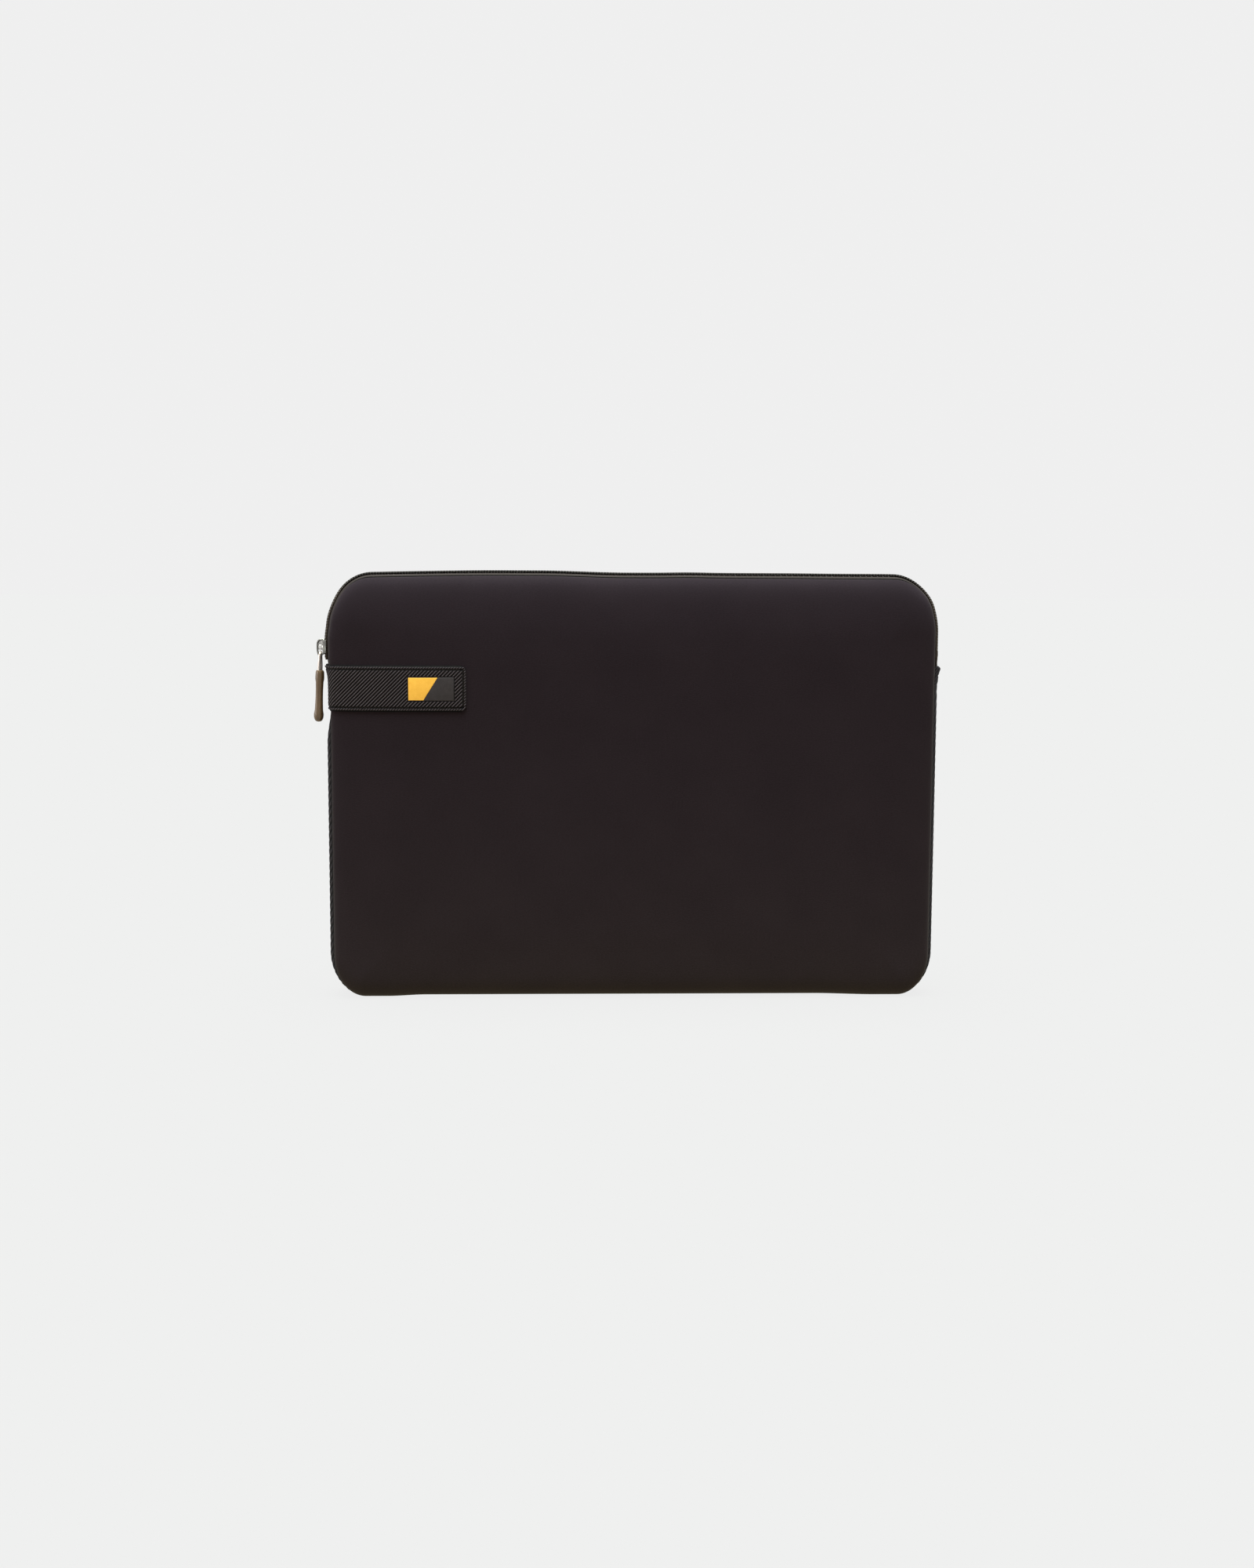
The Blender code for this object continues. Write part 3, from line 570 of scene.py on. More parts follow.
def swell_map():
    """Shape of a filled panel: a coarse closed pad of the panel's outline, held along its seam and its inner face, is filled by cloth simulation. Returns its front's swelling, 0 to 1, over a grid of x and z."""
    gx, gz = np.linspace(-W2, W2, 55), np.linspace(0, H, 39)
    nc, ns, nt = 6, 22, 34
    rows = []
    for side, top, low, y, _, _ in PANEL[4:]:
        ring_at, _, _ = ring(side, top, low, nc, ns, nt)
        rows.append(np.stack([ring_at[:, 0], np.full(len(ring_at), y), ring_at[:, 1]], 1))
    rim = rows[-1]
    middle = np.stack([np.clip(rim[:, 0] * 0.45, -68, 68), rim[:, 1], np.full(len(rim), 141.0)], 1)
    rows += [rim * (1 - t) + middle * t for t in np.linspace(0, 0.9, 10)[1:]]
    outer = np.array(rows)
    flat = outer.copy()
    flat[:, :, 1] = 12.0
    grid = np.concatenate([flat[:0:-1], outer])
    count, cols = grid.shape[:2]
    verts = grid.reshape(-1, 3)
    faces = [tuple(f) for f in quads(count, cols, True)]
    faces += [tuple(range(cols))[::-1], tuple(range((count - 1) * cols, count * cols))]
    mesh = bpy.data.meshes.new("pad_trial")
    mesh.from_pydata((verts * MM * (1, -1, 1)).tolist(), [], faces)
    mesh.update()
    pad = bpy.data.objects.new("pad_trial", mesh)
    SCENE.collection.objects.link(pad)
    bm = bmesh.new()
    bm.from_mesh(mesh)
    bmesh.ops.recalc_face_normals(bm, faces=bm.faces[:])
    bmesh.ops.triangulate(bm, faces=[f for f in bm.faces if len(f.verts) > 4])
    bm.to_mesh(mesh)
    bm.free()
    held = pad.vertex_groups.new(name="held")
    inner_rows = len(flat) - 1
    held.add([i for i in range(len(verts)) if i < (inner_rows + 2) * cols], 1.0, "REPLACE")
    cloth = pad.modifiers.new("fill", "CLOTH")
    cloth.settings.quality = 6
    cloth.settings.mass = 0.4
    cloth.settings.tension_stiffness = 25
    cloth.settings.compression_stiffness = 25
    cloth.settings.shear_stiffness = 15
    cloth.settings.bending_stiffness = 3
    cloth.settings.use_pressure = True
    cloth.settings.uniform_pressure_force = 4.0
    cloth.settings.effector_weights.gravity = 0.0
    cloth.settings.vertex_group_mass = "held"
    cloth.collision_settings.use_collision = False
    cloth.point_cache.frame_start, cloth.point_cache.frame_end = 1, 20
    for at in range(1, 21):
        SCENE.frame_set(at)
    graph = bpy.context.evaluated_depsgraph_get()
    filled = pad.evaluated_get(graph).to_mesh()
    after = np.empty(len(filled.vertices) * 3)
    filled.vertices.foreach_get("co", after)
    after = after.reshape(-1, 3)[: len(verts)] / MM
    SCENE.frame_set(1)
    bpy.data.objects.remove(pad)
    bpy.data.meshes.remove(mesh)
    front = slice((inner_rows + 1) * cols, None)
    at, out = verts[front], np.clip(-after[front, 1] - verts[front, 1], 0, 25.0)
    # spread over an even grid with a wide soft brush, so that no single fold of the trial shows
    total = np.zeros((len(gz), len(gx)))
    weight = total + 1e-9
    for x, z, o in zip(at[:, 0], at[:, 2], out):
        w = np.outer(np.exp(-(((gz - z) / 11.0) ** 2)), np.exp(-(((gx - x) / 11.0) ** 2)))
        total += w * o
        weight += w
    swell = total / weight
    return gx, gz, swell / swell.max()


SWELL_X, SWELL_Z, SWELL_MAP = swell_map()


def crown(x, z):
    """How far a panel stands out here over its rim profile."""
    x, z = np.broadcast_arrays(np.asarray(x, float), np.asarray(z, float))
    u = np.clip((x - SWELL_X[0]) / (SWELL_X[1] - SWELL_X[0]), 0, len(SWELL_X) - 1.001)
    v = np.clip((z - SWELL_Z[0]) / (SWELL_Z[1] - SWELL_Z[0]), 0, len(SWELL_Z) - 1.001)
    i, j = u.astype(int), v.astype(int)
    f, g = u - i, v - j
    f, g = f * f * (3 - 2 * f), g * g * (3 - 2 * g)
    low = SWELL_MAP[j, i] * (1 - f) + SWELL_MAP[j, i + 1] * f
    high = SWELL_MAP[j + 1, i] * (1 - f) + SWELL_MAP[j + 1, i + 1] * f
    rim = np.minimum(np.minimum(W2 - np.abs(x), H - z), z)
    return SWELL * (low * (1 - g) + high * g) * smoothstep(rim, 5.0, 40.0)


def side_depth(inset):
    """Depth of the panel's outer surface at this inset from the left or right side, away from the corners."""
    rim = SIDE_PROFILE[np.argmin(SIDE_PROFILE[:, 0]) :]
    return np.interp(inset, rim[:, 0], rim[:, 1])


def panel(name, sign):
    table = smooth_rows(PANEL, PANEL_STEPS)
    rows, uv = [], []
    for side, top, low, y_s, y_t, y_b in table:
        p, ts, ls = ring(side, top, low)
        y = y_s * (1 - ts - ls) + y_t * ts + y_b * ls
        rows.append(np.stack([p[:, 0], y, p[:, 1]], 1))
    rim = rows[-1]
    middle = np.stack([np.clip(rim[:, 0] * 0.45, -68, 68), rim[:, 1], np.full(len(rim), 141.0)], 1)
    for t in np.linspace(0, 0.95, 19)[1:]:
        rows.append(rim * (1 - t) + middle * t)
    outer = np.array(rows)
    outer[:, :, 1] += crown(outer[:, :, 0], outer[:, :, 2])
    outer[: PANEL_STEPS[0] + 6, :, 1] = np.array(rows)[: PANEL_STEPS[0] + 6, :, 1]
    inner = []
    first = outer[0]
    middle = np.stack([np.clip(first[:, 0] * 0.35, -68, 68), first[:, 1] + 0.1, np.full(len(first), 141.0)], 1)
    for t in np.linspace(0, 0.95, 15)[1:]:
        inner.append(first * (1 - t) + middle * t)
    rows = np.concatenate([np.array(inner)[::-1], outer])
    count, cols = rows.shape[:2]
    rows[:, :, 1] *= sign
    verts = rows.reshape(-1, 3)
    faces = [quads(count, cols, True)]
    nc, ns, nt = 28, 84, 140
    top0, low0 = 2 * nc + ns, 4 * nc + 2 * ns + nt
    for base, flip in ((0, False), ((count - 1) * cols, True)):
        i = np.arange(nt)
        j = low0 + nt - i
        j1 = j - 1
        strip = np.stack([top0 + i, j % cols, j1 % cols, top0 + i + 1], -1) + base
        faces.append(strip[:, ::-1] if flip else strip)
        right = (np.arange(low0 + nt, low0 + nt + top0 + 1) % cols) + base
        left = np.arange(top0 + nt, low0 + 1) + base
        for end in (right, left):
            faces.append((end if flip else end[::-1])[None])
    return mesh_piece(name, verts, faces, KNIT, verts[:, [0, 2]])


front = panel("front_panel_knit", -1)
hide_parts("front_outer_fabric", "front_foam_pad", "flap_outer_fabric", "flap_foam_pad")
back = panel("back_panel_knit", 1)
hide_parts("back_outer_fabric", "back_foam_pad")
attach(back, "sleeve")


# ---------------------------------------------------------------- lining and binding, inside the pocket
def lining(name, sign):
    p, _, _ = ring(7.3, 6.2, 3.9, 12, 40, 60)
    middle = np.stack([np.clip(p[:, 0] * 0.35, -68, 68), np.full(len(p), 141.0)], 1)
    steps = np.concatenate([[0, 0.006, 0.02], np.linspace(0.06, 0.95, 16)])
    rows = np.array([p * (1 - t) + middle * t for t in steps])
    # a shallow roll along the edge, where the lining turns down to the seam
    lift = 0.25 * smoothstep(steps, 0, 0.05)[:, None] + 0 * rows[:, :, 0]
    near = np.stack([rows[:, :, 0], sign * (11.75 - lift), rows[:, :, 1]], -1)
    far = np.stack([rows[:, :, 0], sign * (12.15 - 0.1 * lift), rows[:, :, 1]], -1)
    count, cols = rows.shape[:2]
    grid = np.concatenate([near[::-1], far])
    verts = grid.reshape(-1, 3)
    faces = [quads(2 * count, cols, True)]
    nc, ns, nt = 12, 40, 60
    top0, low0 = 2 * nc + ns, 4 * nc + 2 * ns + nt
    for base, flip in ((0, False), ((2 * count - 1) * cols, True)):
        i = np.arange(nt)
        j = low0 + nt - i
        strip = np.stack([top0 + i, j % cols, (j - 1) % cols, top0 + i + 1], -1) + base
        faces.append(strip[:, ::-1] if flip else strip)
        right = (np.arange(low0 + nt, low0 + nt + top0 + 1) % cols) + base
        left = np.arange(top0 + nt, low0 + 1) + base
        for end in (right, left):
            faces.append((end if flip else end[::-1])[None])
    return mesh_piece(name, verts, faces, LINING, verts[:, [0, 2]])


lining_front = lining("front_lining_sheet", -1)
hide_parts("front_lining", "flap_lining")
lining_back = lining("back_lining_sheet", 1)
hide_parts("back_lining")
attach(lining_back, "sleeve")


def swept_ring(name, side, top, bottom, y, half_n, half_y, mat):
    """A soft strip round the whole outline, with a rounded section."""
    a = np.linspace(0, TAU, 14, endpoint=False)
    sec_n = half_n * np.sign(np.cos(a)) * np.abs(np.cos(a)) ** 0.6
    sec_y = half_y * np.sign(np.sin(a)) * np.abs(np.sin(a)) ** 0.6
    rows, uv = [], []
    for n, d in zip(sec_n, sec_y):
        p, _, _ = ring(side + n, top + n, bottom + n)
        rows.append(np.stack([p[:, 0], np.full(len(p), y + d), p[:, 1]], 1))
        step = np.hypot(*np.diff(p, axis=0, append=p[:1]).T)
        uv.append(np.stack([np.cumsum(step), np.full(len(p), n + d)], 1))
    rows, uv = np.array(rows), np.array(uv)
    verts = rows.reshape(-1, 3)
    return mesh_piece(name, verts, [quads(len(sec_n), rows.shape[1], True, True)], mat, uv.reshape(-1, 2))


bind_back = swept_ring("back_binding_tape", 8.1, 6.9, 5.0, 10.4, 1.45, 0.75, BINDING)
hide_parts("back_binding")
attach(bind_back, "sleeve")
bind_front = swept_ring("front_binding_tape", 8.1, 6.9, 5.0, -10.4, 1.45, 0.75, BINDING)
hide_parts("front_binding", "flap_binding")


# ---------------------------------------------------------------- ribbed fabric
def rib_wave(phase):
    """Height of a rib, 0 to 1: a rounded ridge with a narrower valley."""
    c = 0.5 + 0.5 * np.cos(TAU * phase)
    return c**0.8


def bulge(y, middle, edge):
    share = np.minimum(1.0, np.abs(y) / 11.0)
    return middle + (edge - middle) * (1 - np.sqrt(1 - share * share * 0.96)) / 0.8


def zip_end_lump(z):
    """How far the patch stands out where it covers the left end of the zipper, and is drawn in below it."""
    at, out = (191.0, 197.0, 203.0, 208.0, 211.0, 214.0, 216.5, 218.5, 220.0, 221.0), (-0.45, -0.85, -1.0, -0.7, -0.2, 0.55, 1.1, 1.75, 1.95, 1.95)
    return sum(np.interp(z + d, at, out) for d in (-1.2, -0.6, 0.0, 0.6, 1.2)) / 5


RIB_AMP = 0.45
SIDE_IN = -0.15  # inset of the gusset's middle at the sides


def gusset_inset(x, y, z):
    """The gusset bulges out at both sides, and is held in under the patch."""
    held = 3.6 * smoothstep(z, 168, 198) * (np.asarray(x) < 0)
    return bulge(y, SIDE_IN + held, 4.4)


def gusset():
    per = 14
    depth = np.array([-10.65, -10.2, -9.2, -7.6, -5.8, -3.6, -1.2, 1.2, 3.6, 5.8, 7.6, 9.2, 10.2, 10.65])
    count = int(round(CRADLE_L / GUSSET_RIB)) * per
    u0 = np.linspace(0, CRADLE_L, count + 1)
    ends = np.minimum(u0, CRADLE_L - u0)
    shear = np.clip(ends / 17.0, 0, 1)
    u = u0[None, :] + shear[None, :] * depth[:, None]
    u = np.clip(u, 0, CRADLE_L)
    y = np.repeat(depth[:, None], count + 1, 1)
    x, z, _, _ = along_cradle(u, 0.0, 0.0, GUSSET_END_Z)
    side = gusset_inset(x, y, z)
    under = 1.45 * smoothstep(np.abs(y), 8.6, 10.65)
    x, z, nx, nz = along_cradle(u, side, under, GUSSET_END_Z)
    rib = rib_wave(np.repeat((np.arange(count + 1) / per)[None], len(depth), 0)) ** 0.7
    edge = smoothstep(10.65 - np.abs(y), 0.0, 0.9)
    out = 0.62 * (rib - 1) * edge
    outer = np.stack([x + nx * out, y, z + nz * out], -1)
    tilt = np.clip(y / 11.0, -1, 1)
    inner = np.stack([x - nx * 1.5, y - 0.2 * tilt, z - nz * 1.5], -1)
    # the rib map carries the painted light and shade of the ribs' colour
    return thick_grid("side_gusset_ribbed", outer, inner, np.stack([u, y], -1), RIBBED, rib=(1.1 * rib - 0.35) * (0.5 + 0.45 * edge))


gusset_piece = gusset()
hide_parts("side_gusset")
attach(gusset_piece, "sleeve")


# ---------------------------------------------------------------- patch
def patch_section():
    """The patch's base line in (x, y), from its right end on the front round the left edge to the back seam, evenly spaced, with outward normals."""
    flat = np.arange(-PATCH_RIGHT, 179.0, 0.5)
    pts = [(-x, -side_depth(W2 - x) - 0.12) for x in flat]
    for inset in (18.0, 14.0, 11.0, 8.4, 6.4):
        pts.append((inset - W2, -side_depth(inset) - 0.15))
    pts += [(4.35 - W2, -13.9), (3.55 - W2, -12.0), (3.3 - W2, -10.4)]
    for y in (-8.6, -6.5, -4.0, -1.5, 1.5, 4.0, 6.5, 8.6, 10.4):
        pts.append((float(bulge(y, 2.4, 3.6)) - 0.25 - W2, y))
    pts = smooth_rows(pts, [1] * (len(flat) - 1) + [6] * (len(pts) - len(flat)))
    s = np.concatenate([[0], np.cumsum(np.hypot(*np.diff(pts, axis=0).T))])
    even = np.arange(0, s[-1], 0.27)
    x, y = np.interp(even, s, pts[:, 0]), np.interp(even, s, pts[:, 1])
    tx, ty = np.gradient(x), np.gradient(y)
    for _ in range(6):
        tx[1:-1] = (tx[:-2] + 2 * tx[1:-1] + tx[2:]) / 4
        ty[1:-1] = (ty[:-2] + 2 * ty[1:-1] + ty[2:]) / 4
    n = np.hypot(tx, ty)
    return even, x, y, ty / n, -tx / n


PATCH_A, PATCH_X, PATCH_Y, PATCH_NX, PATCH_NY = patch_section()
if PATCH_NY[0] > 0:
    PATCH_NX, PATCH_NY = -PATCH_NX, -PATCH_NY
STITCH = 3.0


def patch_point(a, z, height):
    """A point over the patch's base, a mm from its right end."""
    x, y = np.interp(a, PATCH_A, PATCH_X), np.interp(a, PATCH_A, PATCH_Y)
    nx, ny = np.interp(a, PATCH_A, PATCH_NX), np.interp(a, PATCH_A, PATCH_NY)
    front_share = smoothstep(-y, 6.0, 18.0)
    y = y - crown(x, z) * front_share
    lump = zip_end_lump(z) * smoothstep(11.0 - np.abs(y), 0.5, 8.0)
    return np.stack([x + nx * (height + lump), y + ny * (height + lump), z + 0 * x], -1)


def patch():
    rows = int(round((PATCH_HIGH - PATCH_LOW) / 0.26))
    # a thin near-black flange beyond the ribbed face: painted shade for the shadow line round the patch
    z0 = np.concatenate([[PATCH_LOW - 0.75, PATCH_LOW - 0.35], np.linspace(PATCH_LOW, PATCH_HIGH, rows + 1), [PATCH_HIGH + 0.35, PATCH_HIGH + 0.75]])
    a0 = np.concatenate([[-0.75, -0.35], PATCH_A])
    a, z = np.meshgrid(a0, z0)
    # rounded right-hand corners
    r = 3.6
    mid, half = (PATCH_LOW + PATCH_HIGH) / 2, (PATCH_HIGH - PATCH_LOW) / 2
    over = np.clip(np.abs(z - mid) - (half - r), 0, r)
    start = r - np.sqrt(np.clip(r * r - over * over, 0, None))
    a = start + a * (PATCH_A[-1] - start) / PATCH_A[-1]
    edge_z = half - np.abs(z - mid)
    edge = np.minimum(edge_z, a - start * 0.6)
    groove_at, groove_w = 2.0, 0.42
    groove = np.exp(-(((edge - groove_at) / groove_w) ** 2))
    strip = 1 - smoothstep(edge, 1.4, 1.8)
    rim = np.sqrt(np.clip(1 - (1 - np.clip(edge / 0.4, 0, 1)) ** 2, 0, 1))
    rib = rib_wave((a + z) / RIB)
    run = np.where(edge_z < a - start, a, z)
    puff = 0.5 + 0.5 * np.cos(TAU * run / STITCH)
    rope = rib_wave((a + z) / 1.8)
    height = 0.06 + 0.70 * rim + RIB_AMP * (rib - 1) * (1 - strip) + 0.46 * (1 - strip)
    height += strip * rim * (0.22 * rope + 0.14 * puff)
    x = np.interp(a, PATCH_A, PATCH_X)
    under = (x > LABEL[0] - 0.3) & (x < LABEL[1] + 0.3) & (z > LABEL[2] - 0.3) & (z < LABEL[3] + 0.3)
    height = np.where(under, 0.45, height)
    height -= 0.60 * groove
    outer = patch_point(a, z, height)
    inner = patch_point(a, z, np.full(a.shape, -0.25))
    # the colour follows the rib and rope height, painted light and shade; it is near black on the flange and darker in
    # the stitch groove, both painted shade
    tone = np.where(under, 0.0, rib) * (1 - strip) + strip * (0.30 + 0.70 * rope)
    tone = np.where(edge < 0.12, -0.6, tone * (1 - 0.95 * groove) - 0.3 * groove)
    return thick_grid("corner_patch_ribbed", outer, inner, np.stack([-a, z], -1), RIBBED, rib=tone)


patch_piece = patch()
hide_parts("side_patch")
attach(patch_piece, "sleeve")


def capsules(name, starts, ends, radius, mat, sides=8):
    """Many short round-ended threads in one piece."""
    starts, ends = np.asarray(starts, float), np.asarray(ends, float)
    d = ends - starts
    length = np.linalg.norm(d, axis=1)
    d = d / length[:, None]
    ref = np.where(np.abs(d[:, 2:3]) < 0.9, np.array([[0, 0, 1.0]]), np.array([[0, 1.0, 0]]))
    e1 = np.cross(d, ref)
    e1 /= np.linalg.norm(e1, axis=1)[:, None]
    e2 = np.cross(d, e1)
    prof = [(-0.94, 0.34), (-0.71, 0.71), (-0.26, 0.97), (0.26, 0.97), (0.71, 0.71), (0.94, 0.34)]
    ang = np.arange(sides) / sides * TAU
    verts, rows = [], []
    for k, (t, r) in enumerate(prof):
        base = starts if t < 0 else ends
        for q in ang:
            verts.append(base + d * (t * radius) + e1 * (r * radius * math.cos(q)) + e2 * (r * radius * math.sin(q)))
    per = len(verts)
    verts = np.stack(verts, 1).reshape(-1, 3)
    one = quads(len(prof), sides, True)
    off = (np.arange(len(starts)) * per)[:, None, None]
    faces = [(one[None] + off).reshape(-1, 4)]
    caps = np.stack([np.arange(sides)[::-1], np.arange(sides) + (len(prof) - 1) * sides])
    faces.append((caps[None] + off).reshape(-1, sides))
    return mesh_piece(name, verts, faces, mat)


def patch_threads():
    starts, ends = [], []
    depth = 2.0
    last = PATCH_A[-1] - 8.0
    for z in (PATCH_LOW + depth, PATCH_HIGH - depth):
        for k in np.arange(depth + 2.0, last, STITCH):
            starts.append(patch_point(k + 0.45, z, 0.5))
            ends.append(patch_point(k + STITCH - 0.45, z, 0.5))
    for k in np.arange(PATCH_LOW + depth + 0.8, PATCH_HIGH - depth - 2.5, STITCH):
        starts.append(patch_point(depth, k + 0.4, 0.5))
        ends.append(patch_point(depth, k + STITCH - 0.4, 0.5))
    return capsules("patch_stitch_thread", starts, ends, 0.26, THREAD)


threads = patch_threads()
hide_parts("patch_stitching")
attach(threads, "sleeve")


# ---------------------------------------------------------------- label: two plain fields in a thin frame
LABEL_BASE_Y = float(patch_point(22.0, 205.0, 0.0)[1])


def plate(name, outline, y_back, thick, mat, bevel=0.22):
    bm = bmesh.new()
    face = bm.faces.new([bm.verts.new((x * MM, y_back * MM, (z + LIFT) * MM)) for x, z in outline])
    bmesh.ops.recalc_face_normals(bm, faces=[face])
    made = bmesh.ops.extrude_face_region(bm, geom=[face])
    for v in made["geom"]:
        if isinstance(v, bmesh.types.BMVert):
            v.co.y -= thick * MM
    bmesh.ops.recalc_face_normals(bm, faces=bm.faces[:])
    front_y = (y_back - thick) * MM
    edges = [e for e in bm.edges if all(abs(v.co.y - front_y) < 1e-7 for v in e.verts)]
    bmesh.ops.bevel(bm, geom=edges, offset=bevel * MM, segments=3, affect="EDGES", profile=0.6)
    mesh = bpy.data.meshes.new(name)
    bm.to_mesh(mesh)
    bm.free()
    mesh.shade_smooth()
    mesh.set_sharp_from_angle(angle=math.radians(40))
    mesh.materials.append(mat)
    obj = bpy.data.objects.new(name, mesh)
    SCENE.collection.objects.link(obj)
    return obj


lx0, lx1, lz0, lz1 = LABEL
low_x, high_x = lx0 + 10.2, lx0 + 19.4
label_y = LABEL_BASE_Y - 0.50
accent = plate("label_amber_field", [(lx0 + 0.45, lz0 + 0.45), (low_x, lz0 + 0.45), (high_x, lz1 - 0.45), (lx0 + 0.45, lz1 - 0.45)], label_y, 0.75, AMBER)
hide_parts("label_accent")
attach(accent, "sleeve")
base = plate("label_slate_field", [(low_x + 0.2, lz0 + 0.45), (lx1 - 0.45, lz0 + 0.45), (lx1 - 0.45, lz1 - 0.45), (high_x + 0.2, lz1 - 0.45)], label_y, 0.75, SLATE)
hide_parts("label_base")
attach(base, "sleeve")
# a thin frame round the fields in the dark slate, put where the label's edge shadow falls: painted shade
rim = plate("label_rim_painted_shade", [(lx0, lz0), (lx1, lz0), (lx1, lz1), (lx0, lz1)], label_y - 0.02, 0.45, SLATE, 0.2)
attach(rim, "sleeve")


# ---------------------------------------------------------------- folded gusset end over the zipper's right end
def end_tab():
    """The gusset's end, folded over the zipper's right end and sewn down."""
    z0 = np.concatenate([np.arange(206.5, 218.3, 0.28), [218.5, 218.8, 219.1, 219.4, 219.7, 219.95, 220.2, 220.4]])
    y0 = np.linspace(-10.6, 10.6, 76)
    y, z = np.meshgrid(y0, z0)
    lump = np.interp(z, (206.5, 208.5, 212.0, 214.5, 216.5, 217.9, 218.7, 219.4, 220.0, 220.4), (0.0, 0.12, 0.32, 0.62, 1.15, 1.65, 1.75, 1.5, 0.9, 0.35))
    rib = rib_wave((z - y) / RIB)
    across = smoothstep(11.0 - np.abs(y), 0.2, 7.0)
    sewn = np.exp(-(((z - 214.0) / 0.45) ** 2))
    out = 0.12 - 0.7 * (1 - smoothstep(z, 206.5, 210.5)) + lump * across + 0.5 * RIB_AMP * (rib - 1) * smoothstep(z, 206.5, 209.0) - 0.35 * sewn
    x = W2 - gusset_inset(W2, y, z)
    outer = np.stack([x + out + 0.1, y, z], -1)
    inner = np.stack([x - 1.0 + 0 * out, y, z], -1)
    # the colour follows the rib height with its painted light and shade, and is darker along the sewn groove: painted
    # shade
    return thick_grid("zipper_end_fold", outer, inner, np.stack([z, y], -1), RIBBED, rib=rib * 0.75 - 0.5 * sewn)


fold = end_tab()
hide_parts("zipper_end_tab")
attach(fold, "sleeve")


# ---------------------------------------------------------------- zipper
ZIP_L = arch_length(ZIP_END_Z)
LAST_TOOTH = 6.9  # the coils end this far above the zipper's right end, and plain tape is wrapped over the rest


def tape(name, sign):
    depth = np.array([0.75, 1.6, 2.6, 3.6, 4.6, 5.8, 7.0, 8.2, 9.4, 10.2, 10.7])
    u0 = np.linspace(-4.0, ZIP_L + 4.0, 420)
    u, y = np.meshgrid(u0, depth)
    inset = 1.75 + 0.25 * smoothstep(y, 3.0, 4.2)
    side = inset + (4.5 - 2.0) * np.clip((y - 2.5) / 8.2, 0, 1) ** 1.7
    top = inset + (4.3 - 2.0) * np.clip((y - 2.5) / 8.2, 0, 1) ** 1.7
    x, z, nx, nz = along_arch(u, side, top, ZIP_END_Z)
    wave = 0.08 * np.sin(u / 6.3 + y * 0.2) * smoothstep(y, 3.0, 6.0) * smoothstep(10.7 - y, 0.0, 2.0)
    outer = np.stack([x + nx * wave, sign * y, z + nz * wave], -1)
    inner = np.stack([x - nx * 0.55, sign * y, z - nz * 0.55], -1)
    return thick_grid(name, outer, inner, np.stack([u, sign * y], -1), TAPE)


def tube(path, radius, sides=6):
    """A round wire along a line of points, with closed ends."""
    path = np.asarray(path, float)
    t = np.gradient(path, axis=0)
    t /= np.linalg.norm(t, axis=1)[:, None]
    ref = np.array([0.0, 0.0, 1.0]) if abs(t[0, 2]) < 0.8 else np.array([0.0, 1.0, 0.0])
    e1 = np.zeros_like(path)
    e = ref - t[0] * (ref @ t[0])
    e /= np.linalg.norm(e)
    for i in range(len(path)):
        e = e - t[i] * (e @ t[i])
        e /= np.linalg.norm(e)
        e1[i] = e
    e2 = np.cross(t, e1)
    a = np.arange(sides) / sides * TAU
    radius = np.broadcast_to(radius, len(path))
    rows = path[:, None] + radius[:, None, None] * (e1[:, None] * np.cos(a)[None, :, None] + e2[:, None] * np.sin(a)[None, :, None])
    faces = [quads(len(path), sides, True), np.arange(sides)[::-1][None], (np.arange(sides) + (len(path) - 1) * sides)[None]]
    return rows.reshape(-1, 3), faces


def join(parts):
    verts, faces, base = [], [], 0
    for v, fs in parts:
        v = np.asarray(v, float)
        fs = [np.atleast_2d(f) for f in fs]
        if volume(v, fs) < 0:
            fs = [f[:, ::-1] for f in fs]
        verts.append(v)
        faces += [f + base for f in fs]
        base += len(v)
    return np.concatenate(verts), faces


def lofted(sections):
    """Closed body through rings of equal point count."""
    rings = np.asarray(sections, float)
    cols = rings.shape[1]
    return rings.reshape(-1, 3), [quads(len(rings), cols, True), np.arange(cols)[::-1][None], (np.arange(cols) + (len(rings) - 1) * cols)[None]]


def lit_side_share(verts):
    """0 on the top run of the zipper, 1 along the sides, where the chain takes its lighter side colour of painted
    light.
    """
    return 1 - smoothstep(verts[:, 2], 262.0, 279.5)


def coil(name, sign, shift):
    """A wound coil."""
    length = arch_length(COIL_END_Z)
    turns = int((length - LAST_TOOTH) / TOOTH) + 1
    u = np.linspace(LAST_TOOTH, length - 0.3, turns * 12)
    phase = TAU * (u / TOOTH + shift)
    x, z, nx, nz = along_arch(u, 0.95, 0.95, COIL_END_Z)
    y = sign * (1.25 + 1.42 * np.cos(phase))
    out = -0.58 * np.sin(phase)
    verts, faces = tube(np.stack([x + nx * out, y, z + nz * out], 1), 0.42)
    return mesh_piece(name, verts, faces, COIL, maps={"side": lit_side_share(verts)})


